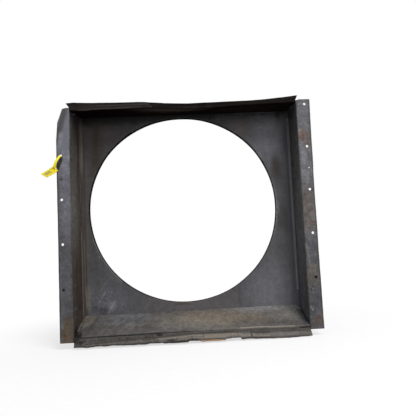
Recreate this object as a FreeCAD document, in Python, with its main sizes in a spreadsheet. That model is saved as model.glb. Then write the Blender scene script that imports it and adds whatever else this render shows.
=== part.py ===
# Sheet-steel radiator fan shroud: a rectangular box that carries air from the radiator to a round
# fan opening. The bolt flanges lie in the plane y = 0 and face -Y, towards the radiator; the fan
# ring stands out at the back, towards +Y. The origin is the middle of the bolt pattern, +Z is up.
import FreeCAD, Part
import os
import Sketcher

doc = FreeCAD.newDocument("fan_shroud")

# Driving dimensions, in millimetres and degrees
dimensions = [
    ("sheet", 2.0, "thickness of every formed sheet"),
    ("bend_radius", 2.0, "inside radius of a bend"),
    ("seat_gap", 0.3, "gap left where an edge meets a face"),
    ("side_gap", 1.0, "gap between a side wall and the end of the top or bottom wall"),
    ("opening_diameter", 812.8, "fan opening"),
    ("opening_up", 45.3, "fan opening's centre, above the middle of the bolt pattern"),
    ("left_margin", 35.0, "from the fan opening to the left side wall"),
    ("right_margin", 81.2, "from the fan opening to the right side wall"),
    ("top_margin", 15.6, "from the fan opening to the top wall, at the rear panel"),
    ("bottom_margin", 37.1, "from the fan opening to the bottom wall, at the rear panel"),
    ("depth", 161.0, "from the bolt flanges' front face to the rear panel's front face"),
    ("top_rise", 13.8, "how far the top wall rises from the mouth to the rear panel"),
    ("bottom_rise", 55.3, "how far the bottom wall rises from the mouth to the rear panel"),
    ("flange_width", 53.0, "from a side wall's inner face to its flange's outer edge"),
    ("flange_over", 8.5, "the flanges stand this much above the mouth"),
    ("flange_under", 17.5, "the flanges reach this much below the mouth"),
    ("hole_rows", 6, "bolt holes in a full column"),
    ("hole_diameter", 10.3, "bolt hole"),
    ("edge_distance", 17.5, "from a bolt hole's centre to the flange's outer edge and top"),
    ("clip_diameter", 5.0, "small clip hole between the bolt holes"),
    ("clip_outset", 2.5, "clip holes lie this much further out than the bolt holes"),
    ("rail_short", 3.0, "the side walls end this much in front of the rear panel"),
    ("fold_inset", 44.0, "top of the folded corner's fold line, from the flange's edge"),
    ("fold_lean", 16.6, "angle of the fold line from upright"),
    ("fold_angle", 25.0, "how far the folded corner is bent back"),
    ("clip_across", 26.0, "width cut off the folded corner"),
    ("clip_down", 65.0, "height cut off the folded corner"),
    ("return_length", 10.0, "length of the rear panel's return along the side wall"),
    ("bevel", 12.0, "depth of the bevel between the rear panel and its return"),
    ("ring_depth", 25.0, "length of the fan ring behind the rear panel"),
    ("ring_thickness", 3.0, "thickness of the fan ring"),
    ("lip_setback", 1.0, "the lips' front face lies this much behind the flanges'"),
    ("top_band", 16.5, "upright height of the top lip"),
    ("top_flare", 9.0, "length of the top lip's flare"),
    ("bottom_band", 18.0, "upright height of the bottom lip"),
    ("bottom_flare", 20.0, "length of the bottom lip's flare"),
    ("flare_angle", 45.0, "angle of a flare from upright"),
    ("top_spread", 5.0, "a top lip end runs out this much past the side walls' gap"),
    ("bottom_spread", 4.0, "a bottom lip end runs out this much past the side walls' gap"),
    ("rear_lap", 12.5, "height of a wall's lap behind the rear panel"),
    ("relief_length", 44.0, "length of the slot at the bottom lip's right end"),
    ("relief_height", 6.0, "height of the slot at the bottom lip's right end"),
    ("relief_drop", 4.5, "from the mouth's bottom edge to the slot"),
    ("left_tab_width", 30.0, "width of the left corner tab"),
    ("left_tab_drop", 5.0, "from the mouth's bottom edge to the left corner tab"),
    ("left_tab_flare", 18.0, "length of the left corner tab on the flare"),
    ("right_tab_width", 45.0, "width of the right corner tab"),
    ("right_tab_drop", 10.6, "from the mouth's bottom edge to the right corner tab"),
    ("right_tab_flare", 9.0, "length of the right corner tab on the flare"),
    ("plug_diameter", 8.0, "plug weld"),
    ("plug_height", 0.6, "height of a plug weld"),
    ("side_plugs", 7, "plug welds on each side lap"),
    ("rear_plugs", 8, "plug welds on each rear lap"),
    ("bead_leg", 4.0, "leg of a fillet weld"),
    ("bead_length", 40.0, "length of a corner weld"),
    ("bead_start", 25.0, "from the mouth or the rear panel to a corner weld"),
    ("tack_angle", 4.0, "length of a ring tack weld, as an angle"),
    ("tack_pitch", 30.0, "angle between the ring tack welds"),
    ("strap_width", 6.0, "width of the seal's strap"),
    ("strap_thickness", 1.2, "thickness of the seal's strap"),
    ("loop_half", 5.4, "half the clear height of the strap's loop, across the flange"),
    ("hang_angle", 27.5, "the loop's lean from straight down, at rest on the flange's edge"),
    ("head_length", 11.0, "length of the seal's lock head"),
    ("head_width", 11.0, "width of the seal's lock head"),
    ("head_height", 7.0, "height of the seal's lock head"),
    ("neck_length", 6.0, "length of the neck between the seal's head and flag"),
    ("neck_width", 9.0, "width of the seal's neck"),
    ("neck_reach", 8.0, "how far the neck reaches forward, to clear the flange"),
    ("tag_length", 58.0, "length of the seal's flag"),
    ("tag_lap", 11.5, "the flag starts this far before the end of the neck"),
    ("tag_offset", 18.7, "from the neck's end to the flag's lower long edge"),
    ("tag_width", 36.0, "width of the seal's flag"),
    ("tag_yaw", -135.0, "turn of the flag's length about the upright axis"),
    ("tag_pitch", 34.9, "how far the flag's length dips"),
    ("tag_roll", -36.0, "turn of the flag about its length"),
    ("tag_corner", 4.0, "corner radius of the seal's flag"),
]
dim = doc.addObject("Spreadsheet::Sheet", "dim")
for row, (alias, amount, meaning) in enumerate(dimensions, start=1):
    dim.set(f"A{row}", alias)
    dim.set(f"B{row}", str(amount))
    dim.set(f"C{row}", meaning)
    dim.setAlias(f"B{row}", alias)
doc.recompute()


def value(expression):
    return float(dim.evalExpression(expression))


# Places that several pieces share, each written once from the driving dimensions
opening_radius = "dim.opening_diameter / 2"
opening_x = "((dim.left_margin - dim.right_margin) / 2)"
wall_x = "((dim.opening_diameter + dim.left_margin + dim.right_margin) / 2)"
end_x = f"({wall_x} - dim.side_gap)"
flange_x = f"({wall_x} + dim.flange_width)"
hole_x = f"({flange_x} - dim.edge_distance)"
rail_back = "(dim.depth - dim.rail_short)"
panel_back = "(dim.depth + dim.sheet)"

# Heights of the top and bottom walls' inner faces, both measured away from the middle
throat = {
    "top": f"({opening_radius} + dim.opening_up + dim.top_margin)",
    "bottom": f"({opening_radius} - dim.opening_up + dim.bottom_margin)",
}
spread = {"top": "dim.top_rise", "bottom": "(-dim.bottom_rise)"}
mouth = {edge: f"({throat[edge]} - {spread[edge]})" for edge in throat}

flange_top = f"({mouth['top']} + dim.flange_over)"
flange_foot = f"(-({mouth['bottom']} + dim.flange_under))"
top_row = f"({flange_top} - dim.edge_distance)"
hole_pitch = f"(2 * {top_row} / (dim.hole_rows - 1))"


def wall_height(edge, along):
    # height of the top or bottom wall's inner face at a given y
    return f"({mouth[edge]} + {spread[edge]} * ({along}) / dim.depth)"


def wall_offset(edge):
    # the sheet's thickness measured upright, through the sloping top or bottom wall
    return f"(dim.sheet / cos(atan({spread[edge]} / dim.depth)))"


def lip_crease(edge):
    # height of the crease between a lip's upright band and its flare
    return f"({mouth[edge]} + dim.{edge}_band)"


# Helpers that draw sketches and features with sizes bound to the sheet
def new_body(name):
    body = doc.addObject("PartDesign::Body", name)
    body.Label = name
    return body


def origin_feature(body, role):
    return next(item for item in body.Origin.OriginFeatures if item.Role == role)


def new_sketch(body, name, plane):
    sketch = body.newObject("Sketcher::SketchObject", f"{body.Name}_{name}")
    sketch.AttachmentSupport = [(origin_feature(body, plane), "")]
    sketch.MapMode = "FlatFace"
    return sketch


def constrain(sketch, kind, places, expression):
    index = sketch.addConstraint(Sketcher.Constraint(kind, *places, value(expression)))
    sketch.setExpression(f"Constraints[{index}]", expression)


def draw_outline(sketch, corners):
    points = [FreeCAD.Vector(value(across), value(up), 0) for across, up in corners]
    first = sketch.GeometryCount
    count = len(points)
    for index in range(count):
        sketch.addGeometry(Part.LineSegment(points[index], points[(index + 1) % count]), False)
    for index, (across, up) in enumerate(corners):
        line = first + index
        sketch.addConstraint(Sketcher.Constraint("Coincident", line, 2, first + (index + 1) % count, 1))
        constrain(sketch, "DistanceX", (-1, 1, line, 1), across)
        constrain(sketch, "DistanceY", (-1, 1, line, 1), up)


def draw_circle(sketch, across, up, diameter):
    centre = FreeCAD.Vector(value(across), value(up), 0)
    circle = sketch.addGeometry(Part.Circle(centre, FreeCAD.Vector(0, 0, 1), value(diameter) / 2), False)
    constrain(sketch, "DistanceX", (-1, 1, circle, 3), across)
    constrain(sketch, "DistanceY", (-1, 1, circle, 3), up)
    constrain(sketch, "Diameter", (circle,), diameter)


def add_pad(body, sketch, length, side="One side", reversed_pad=False):
    pad = body.newObject("PartDesign::Pad", f"{sketch.Name}_pad")
    pad.Profile = sketch
    pad.SideType = side
    pad.Reversed = reversed_pad
    pad.setExpression("Length", length)
    doc.recompute()
    return pad


def add_cut(body, sketch):
    # a cut that runs right through the body, both ways from its sketch
    before = body.Shape.Volume
    cut = body.newObject("PartDesign::Pocket", f"{sketch.Name}_cut")
    cut.Profile = sketch
    cut.SideType = "Symmetric"
    cut.Type = "ThroughAll"
    doc.recompute()
    if body.Shape.Volume >= before:
        raise RuntimeError(f"{cut.Name} removed nothing")
    return cut


def add_row(body, feature, axis, length, count):
    # repeats a cut in equal steps along one of the body's axes
    pattern = body.newObject("PartDesign::LinearPattern", f"{feature.Name}_row")
    pattern.Originals = [feature]
    pattern.Direction = (origin_feature(body, axis), [""])
    pattern.setExpression("Length", length)
    pattern.setExpression("Occurrences", count)
    body.Tip = pattern
    doc.recompute()
    return pattern


def edges_through(shape, place):
    # names of the edges whose middle has the given coordinates; None leaves a coordinate free
    names = []
    for index, edge in enumerate(shape.Edges, start=1):
        box = edge.BoundBox
        middle = ((box.XMin + box.XMax) / 2, (box.YMin + box.YMax) / 2, (box.ZMin + box.ZMax) / 2)
        spans = (box.XLength, box.YLength, box.ZLength)
        wanted = all(goal is None or (abs(at - goal) < 0.01 and span < 0.01)
                     for goal, at, span in zip(place, middle, spans))
        if wanted:
            names.append(f"Edge{index}")
    return names


def add_bend(body, place, radius):
    # rounds the straight edges at the given place
    base = body.Tip
    names = edges_through(base.Shape, place)
    if not names:
        raise RuntimeError(f"{body.Name} has no edge at {place}")
    bend = body.newObject("PartDesign::Fillet", f"{body.Name}_bend")
    bend.Base = (base, names)
    bend.setExpression("Radius", radius)
    doc.recompute()
    return bend


outer_bend = "(dim.bend_radius + dim.sheet)"
inner_bend = "dim.bend_radius"


# Rear panel: a flat sheet with the fan opening, whose two sides are bevelled forward and then
# turned into returns that lap inside the side walls
def make_rear_panel():
    body = new_body("rear_panel")
    profile = new_sketch(body, "profile", "XY_Plane")
    profile.setExpression(".AttachmentOffset.Base.z", f"-2 * {mouth['bottom']}")
    mitre = "dim.sheet * tan(22.5)"
    bevel_x = f"({wall_x} - dim.sheet - dim.bevel)"
    bevel_y = "(dim.depth - dim.bevel)"
    return_y = f"({bevel_y} - dim.return_length)"
    draw_outline(profile, [
        (f"{wall_x} - dim.sheet", return_y),
        (wall_x, return_y),
        (wall_x, f"{bevel_y} + {mitre}"),
        (f"{bevel_x} + {mitre}", panel_back),
        (f"-{bevel_x} - {mitre}", panel_back),
        (f"-{wall_x}", f"{bevel_y} + {mitre}"),
        (f"-{wall_x}", return_y),
        (f"-{wall_x} + dim.sheet", return_y),
        (f"-{wall_x} + dim.sheet", bevel_y),
        (f"-{bevel_x}", "dim.depth"),
        (bevel_x, "dim.depth"),
        (f"{wall_x} - dim.sheet", bevel_y),
    ])
    add_pad(body, profile, f"2 * {mouth['bottom']} + 2 * {mouth['top']}")
    trim = new_sketch(body, "trim", "YZ_Plane")
    far = "(dim.depth * 2)"
    for edge, up in (("top", 1), ("bottom", -1)):
        draw_outline(trim, [
            ("0", f"{up} * ({wall_height(edge, '0')} - dim.seat_gap)"),
            (far, f"{up} * ({wall_height(edge, far)} - dim.seat_gap)"),
            (far, f"{up} * 3 * {mouth[edge]}"),
            ("0", f"{up} * 3 * {mouth[edge]}"),
        ])
    add_cut(body, trim)
    opening = new_sketch(body, "opening", "XZ_Plane")
    draw_circle(opening, opening_x, "dim.opening_up", "dim.opening_diameter")
    add_cut(body, opening)
    return body


# Top and bottom walls: each is one sheet bent three times, into a lap behind the rear panel, the
# wall itself, an upright lip at the mouth, and a flare that leans out towards the radiator
def make_wall(edge, up):
    body = new_body(f"{edge}_wall")
    crease = lip_crease(edge)
    front = "dim.lip_setback"
    inside = f"({front} + dim.sheet)"
    back = f"({panel_back} + dim.sheet)"
    wall = new_sketch(body, "wall", "YZ_Plane")
    lap_end = f"({wall_height(edge, panel_back)} - dim.rear_lap)"
    draw_outline(wall, [
        (front, f"{up} * {wall_height(edge, front)}"),
        (panel_back, f"{up} * {wall_height(edge, panel_back)}"),
        (panel_back, f"{up} * {lap_end}"),
        (back, f"{up} * {lap_end}"),
        (back, f"{up} * ({wall_height(edge, back)} + {wall_offset(edge)})"),
        (front, f"{up} * ({wall_height(edge, front)} + {wall_offset(edge)})"),
    ])
    add_pad(body, wall, f"2 * {end_x}", side="Symmetric")
    lip = new_sketch(body, "lip", "YZ_Plane")
    flare_y = f"({front} - dim.{edge}_flare * sin(dim.flare_angle))"
    flare_z = f"({crease} + dim.{edge}_flare * cos(dim.flare_angle))"
    draw_outline(lip, [
        (front, f"{up} * {wall_height(edge, front)}"),
        (front, f"{up} * {crease}"),
        (flare_y, f"{up} * {flare_z}"),
        (f"{flare_y} + dim.sheet * cos(dim.flare_angle)",
         f"{up} * ({flare_z} + dim.sheet * sin(dim.flare_angle))"),
        (inside, f"{up} * ({crease} + dim.sheet * tan(dim.flare_angle / 2))"),
        (inside, f"{up} * {wall_height(edge, inside)}"),
    ])
    spread_x = f"({end_x} + dim.{edge}_spread)"
    add_pad(body, lip, f"2 * {spread_x}", side="Symmetric")
    # the lip's ends clear the side rails and then run outwards up the flare
    ends = new_sketch(body, "ends", "XZ_Plane")
    clear_z = f"({flange_top} + dim.seat_gap)" if edge == "top" else f"(-{flange_foot} + dim.seat_gap)"
    tip_z = f"({flare_z} + dim.sheet * 2)"
    for side in (1, -1):
        draw_outline(ends, [
            (f"{side} * {end_x}", f"{up} * {mouth[edge]} / 2"),
            (f"{side} * {end_x}", f"{up} * {clear_z}"),
            (f"{side} * {spread_x}", f"{up} * {tip_z}"),
            (f"{side} * ({spread_x} + dim.side_gap * 10)", f"{up} * {tip_z}"),
            (f"{side} * ({spread_x} + dim.side_gap * 10)", f"{up} * {mouth[edge]} / 2"),
        ])
    add_cut(body, ends)
    if edge == "bottom":
        relief = new_sketch(body, "relief", "XZ_Plane")
        relief_top = f"(-{mouth['bottom']} - dim.relief_drop)"
        draw_outline(relief, [
            (f"{end_x} - dim.relief_length", f"{relief_top} - dim.relief_height"),
            (f"{end_x} + dim.side_gap", f"{relief_top} - dim.relief_height"),
            (f"{end_x} + dim.side_gap", relief_top),
            (f"{end_x} - dim.relief_length", relief_top),
        ])
        add_cut(body, relief)
    add_bend(body, (None, value(front), up * value(wall_height(edge, front))), outer_bend)
    corner_z = up * value(f"{wall_height(edge, inside)} + {wall_offset(edge)}")
    add_bend(body, (None, value(inside), corner_z), inner_bend)
    return body


# Side rails: an outward bolt flange and a side wall, bent from one sheet. The left flange's top
# corner is cut off and folded back.
def make_rail(name, side):
    body = new_body(name)
    profile = new_sketch(body, "profile", "XY_Plane")
    profile.setExpression(".AttachmentOffset.Base.z", flange_foot)
    draw_outline(profile, [
        (f"{side} * {wall_x}", rail_back),
        (f"{side} * {wall_x}", "0"),
        (f"{side} * {flange_x}", "0"),
        (f"{side} * {flange_x}", "dim.sheet"),
        (f"{side} * ({wall_x} + dim.sheet)", "dim.sheet"),
        (f"{side} * ({wall_x} + dim.sheet)", rail_back),
    ])
    add_pad(body, profile, f"{flange_top} - {flange_foot} + {mouth['top']}")
    trim = new_sketch(body, "trim", "YZ_Plane")
    ends = {"top": (1, flange_top), "bottom": (-1, f"(-{flange_foot})")}
    far = "(dim.depth * 2)"
    for edge, (up, start) in ends.items():
        draw_outline(trim, [
            ("-dim.sheet", f"{up} * {start}"),
            ("0", f"{up} * {start}"),
            (far, f"{up} * ({start} + {spread[edge]} * {far} / dim.depth)"),
            (far, f"{up} * 3 * {mouth[edge]}"),
            ("-dim.sheet", f"{up} * 3 * {mouth[edge]}"),
        ])
    add_cut(body, trim)
    add_bend(body, (side * value(wall_x), 0.0, None), outer_bend)
    add_bend(body, (side * value(f"{wall_x} + dim.sheet"), value("dim.sheet"), None), inner_bend)
    if side < 0:
        fold_corner(body)
    bolt = new_sketch(body, "bolt", "XZ_Plane")
    draw_circle(bolt, f"{side} * {hole_x}", f"-{top_row}", "dim.hole_diameter")
    rows = "dim.hole_rows" if side > 0 else "(dim.hole_rows - 1)"
    add_row(body, add_cut(body, bolt), "Z_Axis", f"{hole_pitch} * ({rows} - 1)", rows)
    clip = new_sketch(body, "clip", "XZ_Plane")
    draw_circle(clip, f"{side} * ({hole_x} + dim.clip_outset)", f"-{hole_pitch}", "dim.clip_diameter")
    add_row(body, add_cut(body, clip), "Z_Axis", f"2 * {hole_pitch}", "2")
    return body


def fold_corner(body):
    # the fold line runs from the flange's outer edge up to its top edge; past it the flat flange
    # is cut away, and the corner leaf is added again in a plane turned back about that line
    fold_foot = f"({flange_top} - dim.fold_inset / tan(dim.fold_lean))"
    flat = new_sketch(body, "flat", "XZ_Plane")
    draw_outline(flat, [
        (f"-{flange_x}", fold_foot),
        (f"-{flange_x} + dim.fold_inset", flange_top),
        (f"-{flange_x} + dim.fold_inset", f"{flange_top} + dim.edge_distance"),
        (f"-{flange_x} - dim.edge_distance", f"{flange_top} + dim.edge_distance"),
        (f"-{flange_x} - dim.edge_distance", fold_foot),
    ])
    add_cut(body, flat)
    leaf = new_sketch(body, "leaf", "XZ_Plane")
    leaf.setExpression(".AttachmentOffset.Base.x", f"-{flange_x}")
    leaf.setExpression(".AttachmentOffset.Base.y", fold_foot)
    to_fold = FreeCAD.Rotation(FreeCAD.Vector(0, 0, 1), 90 - value("dim.fold_lean"))
    back = FreeCAD.Rotation(FreeCAD.Vector(1, 0, 0), -value("dim.fold_angle"))
    leaf.AttachmentOffset = FreeCAD.Placement(leaf.AttachmentOffset.Base, to_fold * back)
    # the leaf's corners, in a frame whose first axis runs up the fold line
    along = "{1} * cos(dim.fold_lean) + {0} * sin(dim.fold_lean)"
    across = "{1} * sin(dim.fold_lean) - {0} * cos(dim.fold_lean)"
    rise = f"(dim.fold_inset / tan(dim.fold_lean))"
    corners = [
        ("0", "0"),
        ("dim.fold_inset", rise),
        ("dim.clip_across", rise),
        ("0", f"({rise} - dim.clip_down)"),
    ]
    draw_outline(leaf, [(along.format(right, up), across.format(right, up)) for right, up in corners])
    add_pad(body, leaf, "dim.sheet", reversed_pad=True)


# Fan ring: a hoop that stands on the rear panel's back face, flush with the opening
def make_fan_ring():
    body = new_body("fan_ring")
    section = new_sketch(body, "section", "XY_Plane")
    draw_outline(section, [
        (opening_radius, "0"),
        (f"{opening_radius} + dim.ring_thickness", "0"),
        (f"{opening_radius} + dim.ring_thickness", "dim.ring_depth"),
        (opening_radius, "dim.ring_depth"),
    ])
    hoop = body.newObject("PartDesign::Revolution", "fan_ring_hoop")
    hoop.Profile = section
    hoop.ReferenceAxis = (section, ["V_Axis"])
    hoop.Angle = 360
    doc.recompute()
    body.setExpression(".Placement.Base.x", opening_x)
    body.setExpression(".Placement.Base.y", panel_back)
    body.setExpression(".Placement.Base.z", "dim.opening_up")
    return body


# Corner tabs: bent plates that tie the ends of the bottom lip together at the side rails
def make_corner_tab(hand, side):
    body = new_body(f"bottom_{hand}_corner_tab")
    section = new_sketch(body, "section", "YZ_Plane")
    section.setExpression(".AttachmentOffset.Base.z", f"{side} * {end_x}")
    crease = lip_crease("bottom")
    front = "dim.lip_setback"
    start = f"({mouth['bottom']} + dim.{hand}_tab_drop)"
    flare = f"dim.{hand}_tab_flare"
    tip_y = f"({front} - {flare} * sin(dim.flare_angle))"
    tip_z = f"({crease} + {flare} * cos(dim.flare_angle))"
    draw_outline(section, [
        (front, f"-{start}"),
        (front, f"-{crease}"),
        (tip_y, f"-{tip_z}"),
        (f"{tip_y} - dim.sheet * cos(dim.flare_angle)", f"-({tip_z} - dim.sheet * sin(dim.flare_angle))"),
        (f"{front} - dim.sheet", f"-({crease} - dim.sheet * tan(dim.flare_angle / 2))"),
        (f"{front} - dim.sheet", f"-{start}"),
    ])
    add_pad(body, section, f"dim.{hand}_tab_width", reversed_pad=side > 0)
    return body


# Plug welds: low round buttons of weld metal, a row on each side lap and each rear lap
def make_plugs(name, rows):
    plugs = []
    for number, (count, place, turn) in enumerate(rows):
        for index in range(int(value(count))):
            plug = doc.addObject("Part::Cone", f"{name}_{number}_{index}")
            plug.setExpression("Radius1", "dim.plug_diameter / 2")
            plug.setExpression("Radius2", "dim.plug_diameter / 2 - dim.plug_height")
            plug.setExpression("Height", "dim.plug_height")
            plug.Placement.Rotation = turn
            share = f"(({index} + 0.5) / {count} - 0.5)"
            for axis, expression in zip("xyz", place(share)):
                plug.setExpression(f".Placement.Base.{axis}", expression)
            plugs.append(plug)
    group = doc.addObject("Part::Compound", name)
    group.Label = name
    group.Links = plugs
    return group


def make_side_welds():
    lap_y = "dim.depth - dim.bevel - dim.return_length / 2"
    lap_x = f"({wall_x} - dim.sheet)"
    span = f"({throat['top']} + {throat['bottom']})"
    middle = f"({throat['top']} - {throat['bottom']}) / 2"

    def row(side):
        def place(share):
            return (f"{side} * {lap_x}", lap_y, f"{middle} + {share} * {span}")
        return place

    turns = {side: FreeCAD.Rotation(FreeCAD.Vector(0, 1, 0), -90 * side) for side in (1, -1)}
    return make_plugs("side_lap_welds", [("dim.side_plugs", row(side), turns[side]) for side in (1, -1)])


def make_rear_welds():
    def row(edge, up):
        def place(share):
            height = f"{up} * ({wall_height(edge, panel_back)} - dim.rear_lap / 2)"
            return (f"{share} * 2 * {end_x}", f"{panel_back} + dim.sheet", height)
        return place

    turn = FreeCAD.Rotation(FreeCAD.Vector(1, 0, 0), -90)
    rows = [("dim.rear_plugs", row("top", 1), turn), ("dim.rear_plugs", row("bottom", -1), turn)]
    return make_plugs("rear_lap_welds", rows)


# Fillet welds, as solids whose two flat or round legs lie on the pieces that they join
def welds_feature(name, solids):
    feature = doc.addObject("Part::Feature", name)
    feature.Label = name
    feature.Shape = Part.makeCompound(solids)
    feature.Placement = FreeCAD.Placement()
    return feature


def make_ring_welds():
    # tacks in the corner between the ring's outside and the rear panel's back, all round except
    # at the top, where the top wall's lap leaves no room
    leg = value("dim.bead_leg")
    radius = value(f"{opening_radius} + dim.ring_thickness")
    back = value(panel_back)
    centre = FreeCAD.Vector(value(opening_x), 0, value("dim.opening_up"))
    corner = centre + FreeCAD.Vector(radius, back, 0)
    out = corner + FreeCAD.Vector(leg, 0, 0)
    rear = corner + FreeCAD.Vector(0, leg, 0)
    face = Part.Face(Part.makePolygon([corner, out, rear, corner]))
    pitch = value("dim.tack_pitch")
    turn = value("dim.tack_angle")
    lap_end = value(f"{wall_height('top', panel_back)} - dim.rear_lap")
    tacks = []
    for index in range(int(round(360 / pitch))):
        tack = face.revolve(centre, FreeCAD.Vector(0, 1, 0), turn)
        tack.rotate(centre, FreeCAD.Vector(0, 1, 0), index * pitch)
        if tack.BoundBox.ZMax < lap_end:
            tacks.append(tack)
    return welds_feature("ring_welds", tacks)


def make_corner_welds():
    # two beads outside each corner, between the top or bottom wall and the side wall beside it
    leg = value("dim.bead_leg")
    face_x = value(wall_x)
    length = value("dim.bead_length")
    starts = [value("dim.bead_start"), value("dim.depth - dim.bead_start - dim.bead_length")]
    beads = []
    for edge, up in (("top", 1), ("bottom", -1)):
        for side in (1, -1):
            for start in starts:
                outer = [up * value(f"{wall_height(edge, str(y))} + {wall_offset(edge)}")
                         for y in (start, start + length)]
                corner = FreeCAD.Vector(side * face_x, start, outer[0])
                wall_foot = corner - FreeCAD.Vector(side * leg, 0, 0)
                rail_foot = corner + FreeCAD.Vector(0, 0, up * leg)
                face = Part.Face(Part.makePolygon([corner, wall_foot, rail_foot, corner]))
                beads.append(face.extrude(FreeCAD.Vector(0, length, outer[1] - outer[0])))
    return welds_feature("corner_welds", beads)


# Seal tag: one plastic moulding, a strap looped through a bolt hole and round the flange's edge,
# its lock head, and a flat flag. The loop is built along X and then turned to hang.
def rounded_bar(name, start, end, half):
    # a bar along X with half-round ends, in the plane of the loop, as wide as the strap
    bar = doc.addObject("Part::Box", f"{name}_bar")
    bar.setExpression("Length", f"{end} - {start} - 2 * {half}")
    bar.setExpression("Width", f"2 * {half}")
    bar.setExpression("Height", "dim.strap_width")
    bar.setExpression(".Placement.Base.x", f"{start} + {half}")
    bar.setExpression(".Placement.Base.y", f"-{half}")
    bar.setExpression(".Placement.Base.z", "-dim.strap_width / 2")
    pieces = [bar]
    for number, place in enumerate((f"{start} + {half}", f"{end} - {half}")):
        cap = doc.addObject("Part::Cylinder", f"{name}_cap{number}")
        cap.setExpression("Radius", half)
        cap.setExpression("Height", "dim.strap_width")
        cap.setExpression(".Placement.Base.x", place)
        cap.setExpression(".Placement.Base.z", "-dim.strap_width / 2")
        pieces.append(cap)
    whole = doc.addObject("Part::MultiFuse", name)
    whole.Shapes = pieces
    whole.Refine = True
    return whole


def place_at_hole(item, along, forward):
    # puts an item's origin on the hanging loop's axis, at a distance from the seal's bolt hole
    seal_z = f"({top_row} - {hole_pitch})"
    item.setExpression(".Placement.Base.x", f"-{hole_x} - {along} * sin(dim.hang_angle)")
    item.setExpression(".Placement.Base.y", f"dim.sheet / 2 - {forward}")
    item.setExpression(".Placement.Base.z", f"{seal_z} - {along} * cos(dim.hang_angle)")


def make_seal_tag():
    # at rest the corner of the lock head lies on the flange's outer edge
    reach = ("((dim.edge_distance + dim.seat_gap + dim.head_width / 2 * cos(dim.hang_angle))"
             " / sin(dim.hang_angle))")
    thin = "dim.strap_thickness"
    outer_half = f"(dim.loop_half + {thin})"
    outside = rounded_bar("seal_outside", f"(-{thin} / 2)", f"({reach} + {thin})", outer_half)
    inside = rounded_bar("seal_inside", f"({thin} / 2)", reach, "dim.loop_half")
    loop = doc.addObject("Part::Cut", "seal_loop")
    loop.Base = outside
    loop.Tool = inside
    head = doc.addObject("Part::Box", "seal_head")
    head.setExpression("Length", "dim.head_length")
    head.setExpression("Width", "dim.head_height")
    head.setExpression("Height", "dim.head_width")
    head.setExpression(".Placement.Base.x", f"{reach} + {thin} / 2")
    head.setExpression(".Placement.Base.y", "-dim.head_height / 2")
    head.setExpression(".Placement.Base.z", "-dim.head_width / 2")
    neck = doc.addObject("Part::Box", "seal_neck")
    neck.setExpression("Length", "dim.neck_length")
    neck.setExpression("Width", "dim.neck_reach")
    neck.setExpression("Height", "dim.neck_width")
    neck.setExpression(".Placement.Base.x", f"{reach} + {thin} / 2 + dim.head_length")
    neck.setExpression(".Placement.Base.y", "-dim.neck_reach")
    neck.setExpression(".Placement.Base.z", "-dim.neck_width / 2")
    hanging = doc.addObject("Part::MultiFuse", "seal_hanging")
    hanging.Shapes = [loop, head, neck]
    hanging.Placement.Rotation = FreeCAD.Rotation(FreeCAD.Vector(0, 1, 0), 90 + value("dim.hang_angle"))
    place_at_hole(hanging, "0", "0")
    flag = new_body("seal_flag")
    outline = new_sketch(flag, "outline", "XY_Plane")
    start, end = "-dim.tag_lap", "(dim.tag_length - dim.tag_lap)"
    left, right = "(dim.tag_offset - dim.tag_width)", "dim.tag_offset"
    draw_outline(outline, [(start, left), (end, left), (end, right), (start, right)])
    add_pad(flag, outline, thin, side="Symmetric")
    for along in (start, end):
        for across in (left, right):
            add_bend(flag, (value(along), value(across), None), "dim.tag_corner")
    # the flag runs left, forward and down from the neck, and its width right, forward and down
    flag.Placement.Rotation = FreeCAD.Rotation(value("dim.tag_yaw"), value("dim.tag_pitch"),
                                               value("dim.tag_roll"))
    neck_end = f"({reach} + {thin} / 2 + dim.head_length + dim.neck_length)"
    place_at_hole(flag, f"({neck_end} - {thin})", f"(dim.neck_reach - {thin})")
    doc.recompute()
    seal = doc.addObject("Part::MultiFuse", "seal_tag")
    seal.Label = "seal_tag"
    seal.Shapes = [hanging, flag]
    seal.Refine = True
    return seal


pieces = [
    make_rear_panel(),
    make_wall("top", 1),
    make_wall("bottom", -1),
    make_rail("left_side_rail", -1),
    make_rail("right_side_rail", 1),
    make_fan_ring(),
    make_corner_tab("left", -1),
    make_corner_tab("right", 1),
    make_side_welds(),
    make_rear_welds(),
    make_ring_welds(),
    make_corner_welds(),
    make_seal_tag(),
]
doc.recompute()

for item in doc.Objects:
    if "Invalid" in item.State or "Error" in item.State:
        raise RuntimeError(f"{item.Name} is {item.State}")
for piece in pieces:
    if piece.Shape.isNull() or not piece.Shape.isValid():
        raise RuntimeError(f"{piece.Label} has no valid shape")

os.makedirs("parts", exist_ok=True)
for piece in pieces:
    piece.Shape.exportStep(f"parts/{piece.Label}.step")
    print(piece.Label, len(piece.Shape.Solids), "solids", round(piece.Shape.Volume / 1000, 2), "cm3")
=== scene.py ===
import bpy
import bmesh
import math
import numpy as np
from mathutils import Matrix, Vector, noise


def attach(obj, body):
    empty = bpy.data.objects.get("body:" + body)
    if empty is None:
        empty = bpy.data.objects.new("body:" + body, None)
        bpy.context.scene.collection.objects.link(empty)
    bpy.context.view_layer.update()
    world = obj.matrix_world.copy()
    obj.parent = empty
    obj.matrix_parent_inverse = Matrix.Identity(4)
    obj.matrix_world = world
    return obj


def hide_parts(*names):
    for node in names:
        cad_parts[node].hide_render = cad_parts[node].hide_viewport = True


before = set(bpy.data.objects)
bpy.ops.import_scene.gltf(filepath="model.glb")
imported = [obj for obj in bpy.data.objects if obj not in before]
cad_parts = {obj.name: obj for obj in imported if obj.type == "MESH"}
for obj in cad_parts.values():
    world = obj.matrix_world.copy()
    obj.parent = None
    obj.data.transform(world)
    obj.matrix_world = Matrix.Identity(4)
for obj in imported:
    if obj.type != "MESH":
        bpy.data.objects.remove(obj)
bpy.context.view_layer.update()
mm = 0.001

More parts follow.
